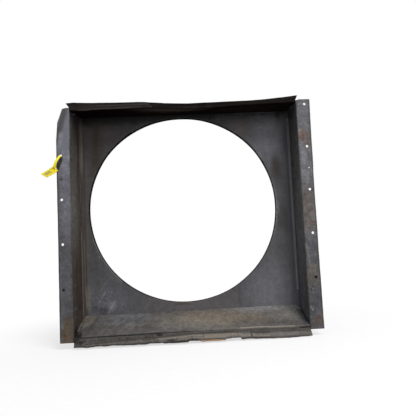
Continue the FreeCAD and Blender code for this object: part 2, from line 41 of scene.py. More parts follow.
# The sheet-metal box, in millimetres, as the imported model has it
box = {
    "wallX": 464.5,        # side walls' inner faces
    "endX": 463.5,         # ends of the top and bottom walls
    "flangeX": 517.5,      # outer edges of the bolt flanges
    "flangeTop": 462.0,
    "flangeFoot": -471.0,
    "depth": 161.0,
    "mouth": 453.5,
    "topRise": 13.8,
    "bottomRise": 55.3,
    "thickness": 2.0,
    "openingX": -22.0,     # the opening is a little wider than high
    "openingZ": 44.5,
    "openingAcross": 412.0,
    "openingUp": 408.3,
    # waves round the opening's edge: count, size and turn in degrees
    "openingSwell": [(0, 1.5, 0), (1, 1.2, 56), (2, 0.8, -76), (3, 0.5, 108), (4, 1.0, -175)],
    "openingSteps": 240,
}


def topWallZ(y):
    return box["mouth"] + box["topRise"] * y / box["depth"]


def bottomWallZ(y):
    return -(box["mouth"] - box["bottomRise"] * y / box["depth"])


def softNoise(points, size, seed=0):
    # smooth noise from -1 to 1 at points in millimetres; size is the width of its bumps
    offset = Vector((seed * 7.31, seed * 3.17, seed * 5.71))
    flat = points.reshape(-1, 3) / size
    found = [noise.noise(Vector(p) + offset) for p in flat]
    return np.array(found).reshape(points.shape[:-1])


def bentPath(corners, bend, counts, arc=5):
    # a line through the corners with its bends rounded; counts gives the steps of each straight
    corners = [Vector(c) for c in corners]
    cuts = [(corners[0], corners[0])]
    for before, here, after in zip(corners, corners[1:], corners[2:]):
        back, ahead = (before - here).normalized(), (after - here).normalized()
        cut = min(bend / math.tan(back.angle(ahead) / 2), (before - here).length * 0.45)
        cuts.append((here + back * cut, here + ahead * cut))
    cuts.append((corners[-1], corners[-1]))
    path = [corners[0]]
    for index, count in enumerate(counts):
        start, end = cuts[index][1], cuts[index + 1][0]
        path += [start.lerp(end, (k + 1) / count) for k in range(count)]
        if index + 1 < len(counts):
            a, corner, b = cuts[index + 1][0], corners[index + 1], cuts[index + 1][1]
            for k in range(1, arc):
                t = k / arc
                path.append(a * (1 - t) ** 2 + corner * 2 * t * (1 - t) + b * t ** 2)
            path.append(b)
    return np.array(path)


def gridOf(x, y, z):
    # a grid of points from coordinates that spread over its rows and columns
    return np.stack(np.broadcast_arrays(x, y, z), -1)


def column(numbers):
    # one number for each row of a grid
    return np.asarray(numbers)[:, None]


def axesOf(grid):
    # the grid's X, Y and Z; what changes them changes the grid
    return np.moveaxis(grid, -1, 0)


def plateMesh(name, grid, thickness):
    # a closed plate whose middle surface is the grid, in millimetres
    normal = np.cross(np.gradient(grid, axis=0), np.gradient(grid, axis=1))
    normal /= np.linalg.norm(normal, axis=2, keepdims=True)
    half = normal * thickness / 2
    rows, columns = grid.shape[:2]
    total = rows * columns
    points = np.concatenate([(grid + half).reshape(-1, 3), (grid - half).reshape(-1, 3)]) * mm
    near = np.arange(total).reshape(rows, columns)
    quads = np.stack([near[:-1, :-1], near[1:, :-1], near[1:, 1:], near[:-1, 1:]], -1).reshape(-1, 4)
    faces = [quads, quads[:, ::-1] + total]
    for rim in (near[0], near[-1], near[:, 0], near[:, -1]):
        faces.append(np.stack([rim[:-1], rim[1:], rim[1:] + total, rim[:-1] + total], -1))
    return meshFrom(name, points, np.concatenate(faces))


def meshFrom(name, points, faces, sharp=0.6):
    mesh = bpy.data.meshes.new(name)
    mesh.from_pydata(np.asarray(points).tolist(), [], [list(map(int, f)) for f in faces])
    tidyMesh(mesh, sharp)
    return mesh


def tidyMesh(mesh, sharp=0.6):
    bm = bmesh.new()
    bm.from_mesh(mesh)
    bmesh.ops.remove_doubles(bm, verts=bm.verts, dist=1e-6)
    bmesh.ops.recalc_face_normals(bm, faces=bm.faces)
    for face in bm.faces:
        face.smooth = True
    for edge in bm.edges:
        edge.smooth = len(edge.link_faces) == 2 and edge.calc_face_angle(0) < sharp
    bm.to_mesh(mesh)
    bm.free()


def addPiece(name, mesh, material, replaced=(), body="shroud"):
    piece = bpy.data.objects.new(name, mesh)
    bpy.context.scene.collection.objects.link(piece)
    mesh.materials.clear()
    mesh.materials.append(material)
    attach(piece, body)
    if replaced:
        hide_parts(*replaced)
    return piece


def turnsOf(count):
    # even steps round a circle
    return [2 * math.pi * k / count for k in range(count)]


def roundHole(x, z, radius, sides=28):
    return [(x + radius * math.cos(a), z + radius * math.sin(a)) for a in turnsOf(sides)]


def loft(rings, closed=False):
    # a closed solid through rings of points that all have the same length
    count, size = len(rings), len(rings[0])
    points = [p for ring in rings for p in ring]
    faces = []
    for i in range(count if closed else count - 1):
        j = (i + 1) % count
        for k in range(size):
            n = (k + 1) % size
            faces.append([i * size + k, i * size + n, j * size + n, j * size + k])
    if not closed:
        faces.append(list(range(size)))
        faces.append([(count - 1) * size + k for k in reversed(range(size))])
    return points, faces


def meshOfParts(name, parts, sharp=0.6):
    # one mesh from several solids given in millimetres
    points, faces = [], []
    for some, theirs in parts:
        faces += [[len(points) + k for k in face] for face in theirs]
        points += [tuple(c * mm for c in p) for p in some]
    return meshFrom(name, points, faces, sharp)


def cutAway(mesh, outlines, front, back):
    # cuts prisms along Y, from outlines given in X and Z, out of a mesh and returns the new mesh
    prisms = [loft([[(x, y, z) for x, z in outline] for y in (front, back)]) for outline in outlines]
    cutter = bpy.data.objects.new("cutter", meshOfParts("cutter", prisms))
    blank = bpy.data.objects.new("blank", mesh)
    for item in (cutter, blank):
        bpy.context.scene.collection.objects.link(item)
    cut = blank.modifiers.new("cut", "BOOLEAN")
    cut.object, cut.operation, cut.solver = cutter, "DIFFERENCE", "EXACT"
    bpy.context.view_layer.update()
    result = bpy.data.meshes.new_from_object(blank.evaluated_get(bpy.context.evaluated_depsgraph_get()))
    result.name = mesh.name
    for item in (cutter, blank):
        bpy.data.objects.remove(item)
    tidyMesh(result)
    return result


def addNode(tree, kind, inputs=None, **settings):
    node = tree.nodes.new(kind)
    for key, amount in settings.items():
        setattr(node, key, amount)
    for key, amount in (inputs or {}).items():
        if isinstance(amount, bpy.types.NodeSocket):
            tree.links.new(amount, node.inputs[key])
        else:
            node.inputs[key].default_value = amount
    return node


def newTree(owner, empty=False):
    # the node tree of a new material or world
    owner.use_nodes = True
    if empty:
        owner.node_tree.nodes.clear()
    return owner.node_tree


def placeOf(tree, kind="Object"):
    return addNode(tree, "ShaderNodeTexCoord").outputs[kind]


def maths(tree, operation, a, b=0.0, c=0.0, clamp=False):
    return addNode(tree, "ShaderNodeMath", {0: a, 1: b, 2: c}, operation=operation, use_clamp=clamp).outputs[0]


def times(tree, a, b):
    return maths(tree, "MULTIPLY", a, b)


def minus(tree, a, b):
    return maths(tree, "SUBTRACT", a, b)


def vectorMaths(tree, operation, *amounts):
    node = addNode(tree, "ShaderNodeVectorMath", dict(enumerate(amounts)), operation=operation)
    return node.outputs["Value" if operation in ("DOT_PRODUCT", "LENGTH") else "Vector"]


def remap(tree, amount, low, high, start=0.0, end=1.0):
    node = addNode(tree, "ShaderNodeMapRange", {"Value": amount, "From Min": low, "From Max": high,
                   "To Min": start, "To Max": end}, interpolation_type="SMOOTHSTEP")
    return node.outputs["Result"]


def blendColour(tree, factor, a, b, mode="MIX"):
    node = addNode(tree, "ShaderNodeMix", {0: factor}, data_type="RGBA", blend_type=mode)
    for place, colour in ((6, a), (7, b)):
        if isinstance(colour, bpy.types.NodeSocket):
            tree.links.new(colour, node.inputs[place])
        else:
            node.inputs[place].default_value = (*colour, 1.0)
    return node.outputs[2]


def greyOf(tree, amount):
    return addNode(tree, "ShaderNodeCombineColor", {0: amount, 1: amount, 2: amount}).outputs[0]


def grain(tree, place, size, detail=4.0, rough=0.55, seed=0.0, stretch=(1, 1, 1)):
    # noise whose bumps are about size wide, in metres
    moved = vectorMaths(tree, "MULTIPLY_ADD", place, stretch, (seed * 1.7, seed * 0.9, seed * 1.3))
    return addNode(tree, "ShaderNodeTexNoise", {"Vector": moved, "Scale": 1.0 / size, "Detail": detail,
                   "Roughness": rough}).outputs["Fac"]


def alongAxis(tree, place, axis):
    return addNode(tree, "ShaderNodeSeparateXYZ", {0: place}).outputs[axis]


def joinShader(tree, colour, roughness, height, bump, bumpDepth, gloss):
    # gives the material's shader a colour, a roughness and a bumpy surface
    raised = addNode(tree, "ShaderNodeBump", {"Height": height, "Strength": bump, "Distance": bumpDepth})
    shader = tree.nodes["Principled BSDF"]
    for key, socket in (("Base Color", colour), ("Roughness", roughness), ("Normal", raised.outputs["Normal"])):
        tree.links.new(socket, shader.inputs[key])
    shader.inputs["Specular IOR Level"].default_value = gloss


def spot(at, reach, colour, amount, edge=0.7, broken=0.0):
    # a mark inside an ellipsoid, in millimetres; broken breaks it up into flakes
    return {"kind": "spot", "at": at, "reach": reach, "colour": colour, "amount": amount, "edge": edge,
            "broken": broken}


def line(start, end, width, colour, amount, broken=0.0):
    return {"kind": "line", "at": start, "end": end, "width": width, "colour": colour, "amount": amount,
            "broken": broken}


def area(low, high, soft, colour, amount, broken=0.0):
    return {"kind": "area", "at": low, "high": high, "soft": soft, "colour": colour, "amount": amount,
            "broken": broken}


def streak(axis, turn, size, stretch, seed, start, end, amount, colour, at=None, reach=None):
    # runs of noise along one direction, everywhere or only inside an ellipsoid
    return {"axis": axis, "turn": turn, "size": size, "stretch": stretch, "seed": seed, "from": start,
            "to": end, "amount": amount, "colour": colour, "inside": at and spot(at, reach, colour, amount, 0.6)}


def metres(numbers):
    return tuple(c * mm for c in numbers)


def maskOf(tree, place, mark):
    # 1 inside a mark, fading to 0 at its border; a line fades over most of its width
    start = Vector(metres(mark["at"]))
    high = Vector(metres(mark.get("high", mark["at"])))
    away = vectorMaths(tree, "SUBTRACT", place, tuple((start + high) / 2))
    if mark["kind"] == "spot":
        away = vectorMaths(tree, "DIVIDE", away, metres(mark["reach"]))
        near, far = 1.0 - mark["edge"], 1.0
    elif mark["kind"] == "line":
        course = Vector(metres(mark["end"])) - start
        share = vectorMaths(tree, "DOT_PRODUCT", away, tuple(course / course.length_squared))
        share = maths(tree, "ADD", share, 0.0, clamp=True)
        foot = addNode(tree, "ShaderNodeVectorMath", {0: tuple(course), "Scale": share}, operation="SCALE")
        away = vectorMaths(tree, "SUBTRACT", away, foot.outputs[0])
        near, far = mark["width"] * mm * 0.3, mark["width"] * mm
    else:
        away = vectorMaths(tree, "ABSOLUTE", away, (0, 0, 0))
        away = vectorMaths(tree, "SUBTRACT", away, tuple((high - start) / 2))
        away = vectorMaths(tree, "MAXIMUM", away, (0, 0, 0))
        near, far = 0.0, mark["soft"] * mm
    return remap(tree, vectorMaths(tree, "LENGTH", away), far, near)


def curveOf(tree, x, table):
    # a table of (x, z) as a curve of metres over metres
    node = addNode(tree, "ShaderNodeFloatCurve", {"Value": maths(tree, "ADD", x, 0.5)})
    points = node.mapping.curves[0].points
    spots = [(0.5 + px * mm, 0.5 + pz * mm) for px, pz in table]
    for k, spotAt in enumerate(spots):
        point = points[k] if k < 2 else points.new(*spotAt)
        point.location = spotAt
    for point in points:
        point.handle_type = "VECTOR"
    node.mapping.update()
    return minus(tree, node.outputs["Value"], 0.5)


def flarePlace(tree, place, lip):
    # a place seen along a lip: X, and how far down its flare from the crease
    x, z = alongAxis(tree, place, 0), alongAxis(tree, place, 2)
    crease, edge = [curveOf(tree, x, lip[key]) for key in ("crease", "edge")]
    share = maths(tree, "DIVIDE", minus(tree, z, crease), minus(tree, crease, edge))
    drop = times(tree, share, lip["flareHeight"] * mm)
    return addNode(tree, "ShaderNodeCombineXYZ", {0: x, 2: drop}).outputs[0]


# Colours of the old paint, dirt and rust, and of painted light and shade, shared by the pieces
shade = {
    "black": (0.006, 0.0055, 0.005),
    "soot": (0.018, 0.015, 0.014),
    "paleSlate": (0.17, 0.172, 0.19),
    "oliveDust": (0.105, 0.089, 0.07),
    "cream": (0.27, 0.235, 0.19),
    "chalk": (0.36, 0.36, 0.36),
    "rust": (0.17, 0.07, 0.038),
    "darkRust": (0.06, 0.028, 0.018),
    "orange": (0.46, 0.2, 0.06),
    "mud": (0.085, 0.064, 0.045),
    "brown": (0.045, 0.034, 0.027),
    "dustAndSheen": (0.28, 0.245, 0.2),
    "underEdge": (0.012, 0.0085, 0.007),
    "scuff": (0.16, 0.16, 0.17),
    "grey": (0.125, 0.125, 0.14),
}

# What all the old painted steel has in common
steel = {
    # each noise: width of its bumps in metres, detail, roughness and seed
    "noises": {"cloud": (0.11, 5, 0.6, 0), "mottle": (0.028, 5, 0.65, 7), "stipple": (0.011, 4, 0.7, 2),
               "pits": (0.0035, 3, 0.6, 5), "blister": (0.009, 5, 0.7, 11)},
    # the blotches that each noise makes: from, to, and how much lighter or darker they are
    "blotches": {"mottle": (0.3, 0.7, 0.26), "stipple": (0.25, 0.75, 0.3), "pits": (0.2, 0.8, 0.15)},
    "wobbleScale": 45.0,
    "wander": 0.03,        # how far the broad marks' borders stray, in metres
    "waver": 0.0035,       # and the fine marks' borders
    "cloudy": (0.38, 0.62),      # where the cloud turns from paint to worn paint
    "flaked": (0.45, 0.6),       # where the blisters break a mark up
    "streak": (5, 0.6),          # a streak's detail and roughness
    "upward": (0.3, 0.7),        # faces that look up
    "pitHeight": 0.5, "stippleHeight": 0.9, "crustHeight": 2.5,
    "bumpDepth": 0.0008,
    "crusty": 0.4,         # marks more broken than this stand up as a crust
    "crustRough": 0.2,
}


def colourOf(mark):
    return shade.get(mark["colour"], mark["colour"])


def steelMaterial(name, look):
    # old painted sheet steel: mottled paint, dust, streaks, and marks at their places
    material = bpy.data.materials.new(name)
    tree = newTree(material)
    place = placeOf(tree)
    wobble = addNode(tree, "ShaderNodeTexNoise", {"Vector": place, "Scale": steel["wobbleScale"], "Detail": 4.0})
    shift = vectorMaths(tree, "SUBTRACT", wobble.outputs["Color"], (0.5, 0.5, 0.5))
    ragged, wavy = [vectorMaths(tree, "ADD", place, vectorMaths(tree, "MULTIPLY", shift, (far,) * 3))
                    for far in (look.get("wander", steel["wander"]), steel["waver"])]
    noises = {key: grain(tree, ragged if key == "blister" else place, size, detail, rough, look["seed"] + seed)
              for key, (size, detail, rough, seed) in steel["noises"].items()}
    colour = blendColour(tree, remap(tree, noises["cloud"], *steel["cloudy"]), look["paint"], look["worn"])

    for mark in look.get("broad", []):
        mask = times(tree, maskOf(tree, ragged, mark), mark["amount"])
        colour = blendColour(tree, mask, colour, colourOf(mark))

    contrast = look.get("contrast", 1.0)   # lighter and darker blotches of the paint below
    for key, (low, high, deep) in steel["blotches"].items():
        gain = remap(tree, noises[key], low, high, 1 - deep * contrast, 1 + deep * contrast)
        colour = blendColour(tree, 1.0, colour, greyOf(tree, gain), "MULTIPLY")

    for run in look.get("streaks", []):    # runs of dirt or dust along one direction
        turned = addNode(tree, "ShaderNodeVectorRotate", {"Vector": wavy, "Axis": run["axis"],
                         "Angle": math.radians(run["turn"])}).outputs[0]
        dirt = grain(tree, turned, run["size"], *steel["streak"], run["seed"], run["stretch"])
        mask = remap(tree, dirt, run["from"], run["to"], 0, run["amount"])
        if run["inside"]:
            mask = times(tree, mask, maskOf(tree, ragged, run["inside"]))
        colour = blendColour(tree, mask, colour, colourOf(run))

    flare = flarePlace(tree, wavy, look) if "flareHeight" in look else None
    flaked = remap(tree, noises["blister"], *steel["flaked"])
    crust = None
    for mark in look.get("marks", []):
        mask = maskOf(tree, flare if mark.get("onLip") else wavy, mark)
        if mark["broken"]:
            keep = maths(tree, "MULTIPLY_ADD", flaked, mark["broken"], 1 - mark["broken"])
            mask = times(tree, mask, keep)
        mask = times(tree, mask, mark["amount"])
        colour = blendColour(tree, mask, colour, colourOf(mark))
        if mark["broken"] > steel["crusty"]:
            crust = mask if crust is None else maths(tree, "MAXIMUM", crust, mask)

    # the look's colours stay on faces that look down or sideways, which on the top wall hold painted shade; faces
    # that look up get the unshaded colour
    if "upper" in look:                    # faces that look up are plain weathered steel
        faceUp = alongAxis(tree, placeOf(tree, "Normal"), 2)
        darker = tuple(c * 0.7 for c in look["upper"])
        weathered = blendColour(tree, remap(tree, noises["mottle"], 0.35, 0.65), look["upper"], darker)
        colour = blendColour(tree, remap(tree, faceUp, *steel["upward"]), colour, weathered)

    roughness = remap(tree, noises["cloud"], 0.3, 0.7, look.get("smooth", 0.5), look.get("rough", 0.75))
    height = maths(tree, "ADD", times(tree, noises["pits"], steel["pitHeight"]),
                   times(tree, noises["stipple"], steel["stippleHeight"]))
    if crust is not None:                  # the crust stands up and is rougher
        lump = times(tree, crust, times(tree, noises["blister"], steel["crustHeight"]))
        height = maths(tree, "ADD", height, lump)
        rougher = times(tree, crust, steel["crustRough"])
        roughness = maths(tree, "ADD", roughness, rougher, clamp=True)
    joinShader(tree, colour, roughness, height, look.get("bump", 0.6), steel["bumpDepth"],
               look.get("gloss", 0.3))
    return material


print("helpers ready")

# The camera, solved from the photograph
shot = {
    "lens": 35.0,
    "sensor": 36.0,
    "place": (12.5, -1623.0, -90.9),
    "turn": (-4.321, -2.652, 2.291),   # turn about one slanted axis, as its three parts in degrees
    "clip": (0.05, 60.0),
}


def makeCamera():
    data = bpy.data.cameras.new("camera")
    data.lens, data.sensor_width, data.sensor_fit = shot["lens"], shot["sensor"], "AUTO"
    data.clip_start, data.clip_end = shot["clip"]
    camera = bpy.data.objects.new("camera", data)
    bpy.context.scene.collection.objects.link(camera)
    turn = Vector([math.radians(a) for a in shot["turn"]])
    right, ahead, up = Matrix.Rotation(turn.length, 3, turn)
    camera.matrix_world = Matrix.Translation(Vector(shot["place"]) * mm) @ Matrix(
        (right, up, -ahead)).transposed().to_4x4()
    bpy.context.scene.camera = camera


studio = {
    "sky": 0.55,             # strength of the soft light from above
    "low": 0.10,             # and of the light from near the ground
    "skyFrom": -0.4,         # the light grows between these two heights
    "skyTo": 0.9,
    "key": {"place": (1.4, -2.2, 3.0), "size": 2.2, "power": 115.0},
    "front": {"place": (0.9, -4.2, 0.9), "size": 2.5, "power": 40.0},
    "floorZ": -0.497,
    "floorSide": 30.0,
    "floorGrey": 0.12,
    "speckle": (0.93, 0.97),  # the floor's greys as the camera sees them
    "fade": (0.45, 1.2),      # distances over which the floor turns to plain white
    "whiteNear": 0.62,        # and its share of white close by
}


def addLamp(name, look):
    data = bpy.data.lights.new(name, "AREA")
    data.energy, data.shape, data.size = look["power"], "DISK", look["size"]
    lamp = bpy.data.objects.new(name, data)
    bpy.context.scene.collection.objects.link(lamp)
    lamp.location = look["place"]
    lamp.rotation_euler = (-Vector(look["place"])).to_track_quat("-Z", "Y").to_euler()


def seenWhite(tree):
    # 1 for what the camera, a reflection or a see-through part looks at
    light = addNode(tree, "ShaderNodeLightPath")
    seen = maths(tree, "MAXIMUM", light.outputs["Is Camera Ray"], light.outputs["Is Glossy Ray"])
    return maths(tree, "MAXIMUM", seen, light.outputs["Is Transmission Ray"])


def makeSky(scene):
    scene.world = bpy.data.worlds.new("studio")
    tree = newTree(scene.world, True)
    height = alongAxis(tree, placeOf(tree, "Generated"), 2)
    strength = remap(tree, height, studio["skyFrom"], studio["skyTo"], studio["low"], studio["sky"])
    soft, white = [addNode(tree, "ShaderNodeBackground", {"Color": (1, 1, 1, 1), "Strength": amount}).outputs[0]
                   for amount in (strength, 1.0)]
    both = addNode(tree, "ShaderNodeMixShader", {0: seenWhite(tree), 1: soft, 2: white})
    addNode(tree, "ShaderNodeOutputWorld", {"Surface": both.outputs[0]})


def makeFloor(scene):
    material = bpy.data.materials.new("pale_floor")
    tree = newTree(material, True)
    place = placeOf(tree)
    seen = seenWhite(tree)
    pale = greyOf(tree, remap(tree, grain(tree, place, 0.02, 3), 0.3, 0.7, *studio["speckle"]))
    colour = blendColour(tree, seen, (studio["floorGrey"],) * 3, pale)
    lit = addNode(tree, "ShaderNodeBsdfDiffuse", {"Color": colour})
    plain = addNode(tree, "ShaderNodeEmission", {"Color": (1, 1, 1, 1), "Strength": 1.0})
    away = remap(tree, vectorMaths(tree, "LENGTH", place), *studio["fade"], studio["whiteNear"], 1.0)
    mask = times(tree, seen, away)
    both = addNode(tree, "ShaderNodeMixShader", {0: mask, 1: lit.outputs[0], 2: plain.outputs[0]})
    addNode(tree, "ShaderNodeOutputMaterial", {"Surface": both.outputs[0]})
    mesh, side = bpy.data.meshes.new("floor"), studio["floorSide"]
    corners = [(-side, -side, 0), (side, -side, 0), (side, side, 0), (-side, side, 0)]
    mesh.from_pydata(corners, [], [(0, 1, 2, 3)])
    mesh.materials.append(material)
    floor = bpy.data.objects.new("floor", mesh)
    floor.location.z = studio["floorZ"]
    scene.collection.objects.link(floor)


makeCamera()
bpy.context.scene.view_settings.view_transform = "Standard"
makeSky(bpy.context.scene)
addLamp("key_lamp", studio["key"])
addLamp("front_lamp", studio["front"])
makeFloor(bpy.context.scene)
print("camera and studio ready")


def ringPoint(angle, out=0.0, y=0.0):
    # a point on the opening's edge, moved outwards and along Y; also the outward direction
    away = Vector((math.cos(angle), 0, math.sin(angle)))
    edge = Vector((box["openingX"] + box["openingAcross"] * away.x, y,
                   box["openingZ"] + box["openingUp"] * away.z))
    swell = sum(size * math.cos(count * angle - math.radians(turn))
                for count, size, turn in box["openingSwell"])
    return edge + away * (out + swell), away


def rimLines(start, end, out, width, colour, amount, broken=0.0):
    # marks that follow the opening's edge between two angles, in degrees
    spots = [tuple(ringPoint(math.radians(a), out, 161)[0]) for a in np.arange(start, end + 1, 8)]
    return [line(a, b, width, colour, amount, broken) for a, b in zip(spots, spots[1:])]


# The rear panel and its paint; broad marks lie under the paint's blotches, the others on top
rearPanel = {
    "returnFront": 139.0,
    "bevel": 12.0,
    "gap": 0.3,            # below the top wall and above the bottom wall
    "wave": 1.6,           # how far the sheet bows in and out
    "waveSize": 210.0,
    "flatRim": 12.0,       # no waves this near the opening
    "seed": 1.0, "paint": (0.088, 0.085, 0.09), "worn": (0.073, 0.069, 0.072), "contrast": 0.45,
}
# The broad patches make the panel lighter low down and on the right and darker at the top left: partly the paint's
# own uneven tone, partly painted light and shade of light from above
rearPanel["broad"] = [
    spot((380, 161, -340), (230, 60, 200), (0.15, 0.15, 0.168), 0.9, 0.9),
    spot((-390, 161, -330), (190, 60, 170), (0.097, 0.097, 0.11), 0.85, 0.9),
    spot((0, 161, -375), (330, 60, 70), (0.1, 0.09, 0.093), 0.7, 0.9),
    spot((365, 161, 340), (140, 60, 175), (0.195, 0.195, 0.218), 0.92, 0.9),
    spot((250, 161, 395), (70, 60, 50), (0.12, 0.1, 0.09), 0.7, 0.9),
    spot((-400, 161, 380), (230, 60, 260), (0.074, 0.066, 0.064), 0.85, 0.8),
    spot((-395, 161, 250), (50, 60, 230), (0.04, 0.033, 0.028), 0.7, 0.9),
    spot((-420, 161, 20), (40, 60, 300), (0.05, 0.04, 0.033), 0.6, 0.9),
    # painted shade: black along the top of the panel, under the top wall
    area((-470, 150, 464), (120, 170, 480), 42, "black", 0.95),
    area((120, 150, 470), (470, 170, 480), 30, "black", 0.8),
    area((-440, 150, 450), (-220, 170, 480), 34, "black", 0.7),
]
rearPanel["marks"] = [
    line((230, 161, 464), (430, 161, 464.5), 4, (0.15, 0.14, 0.135), 0.8, 0.15),
    area((-466, 130, -400), (-452, 170, 410), 7, (0.037, 0.029, 0.0235), 0.85),
    spot((-460, 150, 335), (14, 34, 170), (0.15, 0.133, 0.116), 0.9, 0.8),
    line((-449, 161, 395), (-452, 161, -330), 4, "brown", 0.85),
    # pale lines along the left return's front edge: its worn sheet edge, and a painted highlight where the edge
    # catches light
    area((-467, 136, -395), (-458, 147, -15), 3, (0.16, 0.138, 0.115), 0.85, 0.2),
    area((-467, 136, 90), (-458, 143, 430), 3, (0.12, 0.105, 0.09), 0.7, 0.3),
    line((-464, 143, 250), (-463, 141, -40), 3.5, "brown", 0.9, 0.2),
    line((-459, 150, 390), (-458, 152, 250), 5, "oliveDust", 0.6, 0.5),
    line((-456, 156, -80), (-456, 156, -330), 4.5, (0.14, 0.12, 0.1), 0.45, 0.5),
    spot((-446, 158, -325), (17, 24, 82), (0.18, 0.156, 0.125), 0.85, 0.7, 0.5),
    line((-459, 150, -290), (-457, 157, -392), 4.5, "brown", 0.9),
    line((-461, 145, -120), (-460, 147, -392), 3, (0.17, 0.15, 0.125), 0.6, 0.4),
    # The right bevel and return: lightened as painted light where they face away from the lamps, a painted highlight
    # along the return's front edge, and two darker lines of painted shade along the bevel
    area((444, 130, -400), (466, 170, 440), 12, (0.1, 0.1, 0.115), 0.8),
    area((457, 136, -330), (467, 152, 430), 3, (0.27, 0.27, 0.285), 0.8, 0.15),
    line((452, 159, 400), (453, 159, -350), 4, (0.055, 0.055, 0.062), 0.6, 0.3),
    line((446, 161, 380), (446, 161, -330), 5, (0.085, 0.085, 0.093), 0.5),
    line((-392, 161, 425), (-404, 161, 255), 17, "brown", 0.75),
    line((-350, 161, 392), (-285, 161, 398), 2, "chalk", 0.22, 0.6),
    line((-372, 161, 405), (-372, 161, 380), 2, "chalk", 0.2, 0.6),
    spot((400, 161, 214), (31, 20, 84), (0.034, 0.029, 0.023), 0.9, 0.8),
    spot((422, 161, 455), (22, 20, 26), "black", 0.8, 0.8),
    line((402, 161, 60), (404, 161, 0), 6, "chalk", 0.3, 0.9),
    spot((-375, 161, -320), (75, 20, 75), (0.17, 0.17, 0.186), 0.5, 0.8, 0.9),
    spot((-310, 161, -345), (50, 20, 40), (0.17, 0.17, 0.182), 0.45, 0.8, 0.9),
    spot((-346, 161, -362), (26, 20, 30), (0.26, 0.26, 0.275), 0.7, 0.8, 0.5),
    line((-335, 161, -345), (-362, 161, -392), 6, (0.3, 0.3, 0.31), 0.6, 0.8),
    line((-365, 161, -290), (-404, 161, -348), 6, (0.24, 0.235, 0.235), 0.6, 0.85),
    line((-345, 161, -300), (-388, 161, -372), 4, (0.24, 0.24, 0.25), 0.5, 0.85),
    spot((-405, 161, -275), (26, 20, 50), "oliveDust", 0.6, 0.8, 0.8),
    spot((-385, 161, -380), (26, 20, 22), (0.04, 0.04, 0.047), 0.9, 0.6, 0.5),
    spot((-420, 161, -372), (20, 20, 22), (0.05, 0.05, 0.057), 0.8, 0.6, 0.5),
    spot((-395, 161, -150), (3, 10, 3), "chalk", 0.6),
    spot((-411, 161, -60), (3, 10, 3), "chalk", 0.45),
    line((-70, 161, -368), (-10, 161, -371), 6, "brown", 0.6, 0.6),
    line((-112, 161, -352), (-66, 161, -364), 3.5, "rust", 0.5, 0.6),
]
# painted highlight on the opening's rounded edge at its lower left
rearPanel["marks"] += rimLines(196, 228, 3.2, 2.2, (0.2, 0.195, 0.19), 0.7, 0.2)
rearPanel["marks"] += rimLines(-18, 14, 5.0, 5.0, "chalk", 0.32, 0.7)
rearPanel["marks"] += rimLines(-13, 8, 3.5, 2.2, "chalk", 0.85, 0.75)
# painted shade: a black line round the upper part of the opening, where the fan ring's inside is in shade
rearPanel["marks"] += rimLines(20, 190, 0.5, 3.0, "black", 0.7, 0.2)
rearPanel["streaks"] = [
    streak((0, 1, 0), -32, 0.016, (1, 1, 0.1), 3, 0.52, 0.66, 0.5, (0.19, 0.19, 0.2), (-370, 161, -325),
           (110, 30, 95)),
    streak((0, 1, 0), 3, 0.02, (1, 1, 0.05), 5, 0.5, 0.75, 0.35, (0.03, 0.029, 0.03)),
]


def makeRearPanel():
    side = box["wallX"] - 1.0
    flatY = box["depth"] + 1.0
    bendX, bendY = side - rearPanel["bevel"], flatY - rearPanel["bevel"]
    corners = [(-side, rearPanel["returnFront"]), (-side, bendY), (-bendX, flatY),
               (bendX, flatY), (side, bendY), (side, rearPanel["returnFront"])]
    path = bentPath(corners, 1.5, (3, 4, 170, 4, 3), 3)
    stations = np.linspace(0, 1, 150)
    low = column([bottomWallZ(y) for x, y in path]) + rearPanel["gap"]
    high = column([topWallZ(y) for x, y in path]) - rearPanel["gap"]
    grid = gridOf(column(path[:, 0]), column(path[:, 1]), low + (high - low) * stations)
    x, y, z = axesOf(grid)
    fromOpening = np.hypot(x - box["openingX"], z - box["openingZ"])
    calm = np.clip((fromOpening - box["openingAcross"] - rearPanel["flatRim"]) / 60, 0, 1)
    calm *= np.clip((bendX - np.abs(x)) / 50, 0, 1) * np.clip(np.minimum(stations, 1 - stations) * 14, 0, 1)
    y += softNoise(grid, rearPanel["waveSize"], 3) * calm * rearPanel["wave"] * 2
    mesh = plateMesh("rear_panel_sheet", grid, box["thickness"])
    opening = [(p.x, p.z) for p in (ringPoint(a)[0] for a in turnsOf(box["openingSteps"]))]
    mesh = cutAway(mesh, [opening], box["depth"] - 20, box["depth"] + 20)
    addPiece("rear_panel_sheet", mesh, steelMaterial("rear_panel_paint", rearPanel),
             ["rear_panel"])


makeRearPanel()
print("rear panel ready")

# The fan ring behind the opening
fanRing = {
    "front": 163.0, "rear": 188.0, "thickness": 3.0, "round": 0.7,
    "wave": 0.7,           # waviness of the free rear edge
    "seed": 15.0, "paint": (0.007, 0.0065, 0.0065), "worn": (0.011, 0.01, 0.01), "contrast": 0.8, "gloss": 0.0,
}
fanRing["marks"] = [
    spot((0, 175, -365), (260, 30, 30), (0.06, 0.045, 0.035), 0.7, 0.8, 0.4),
    spot((-20, 186, -366), (90, 20, 20), "rust", 0.7, 0.8, 0.8),
    spot((-260, 186, -280), (120, 20, 90), "rust", 0.4, 0.8, 0.9),
    spot((330, 188, 290), (90, 12, 90), "darkRust", 0.7, 0.8, 0.8),
]


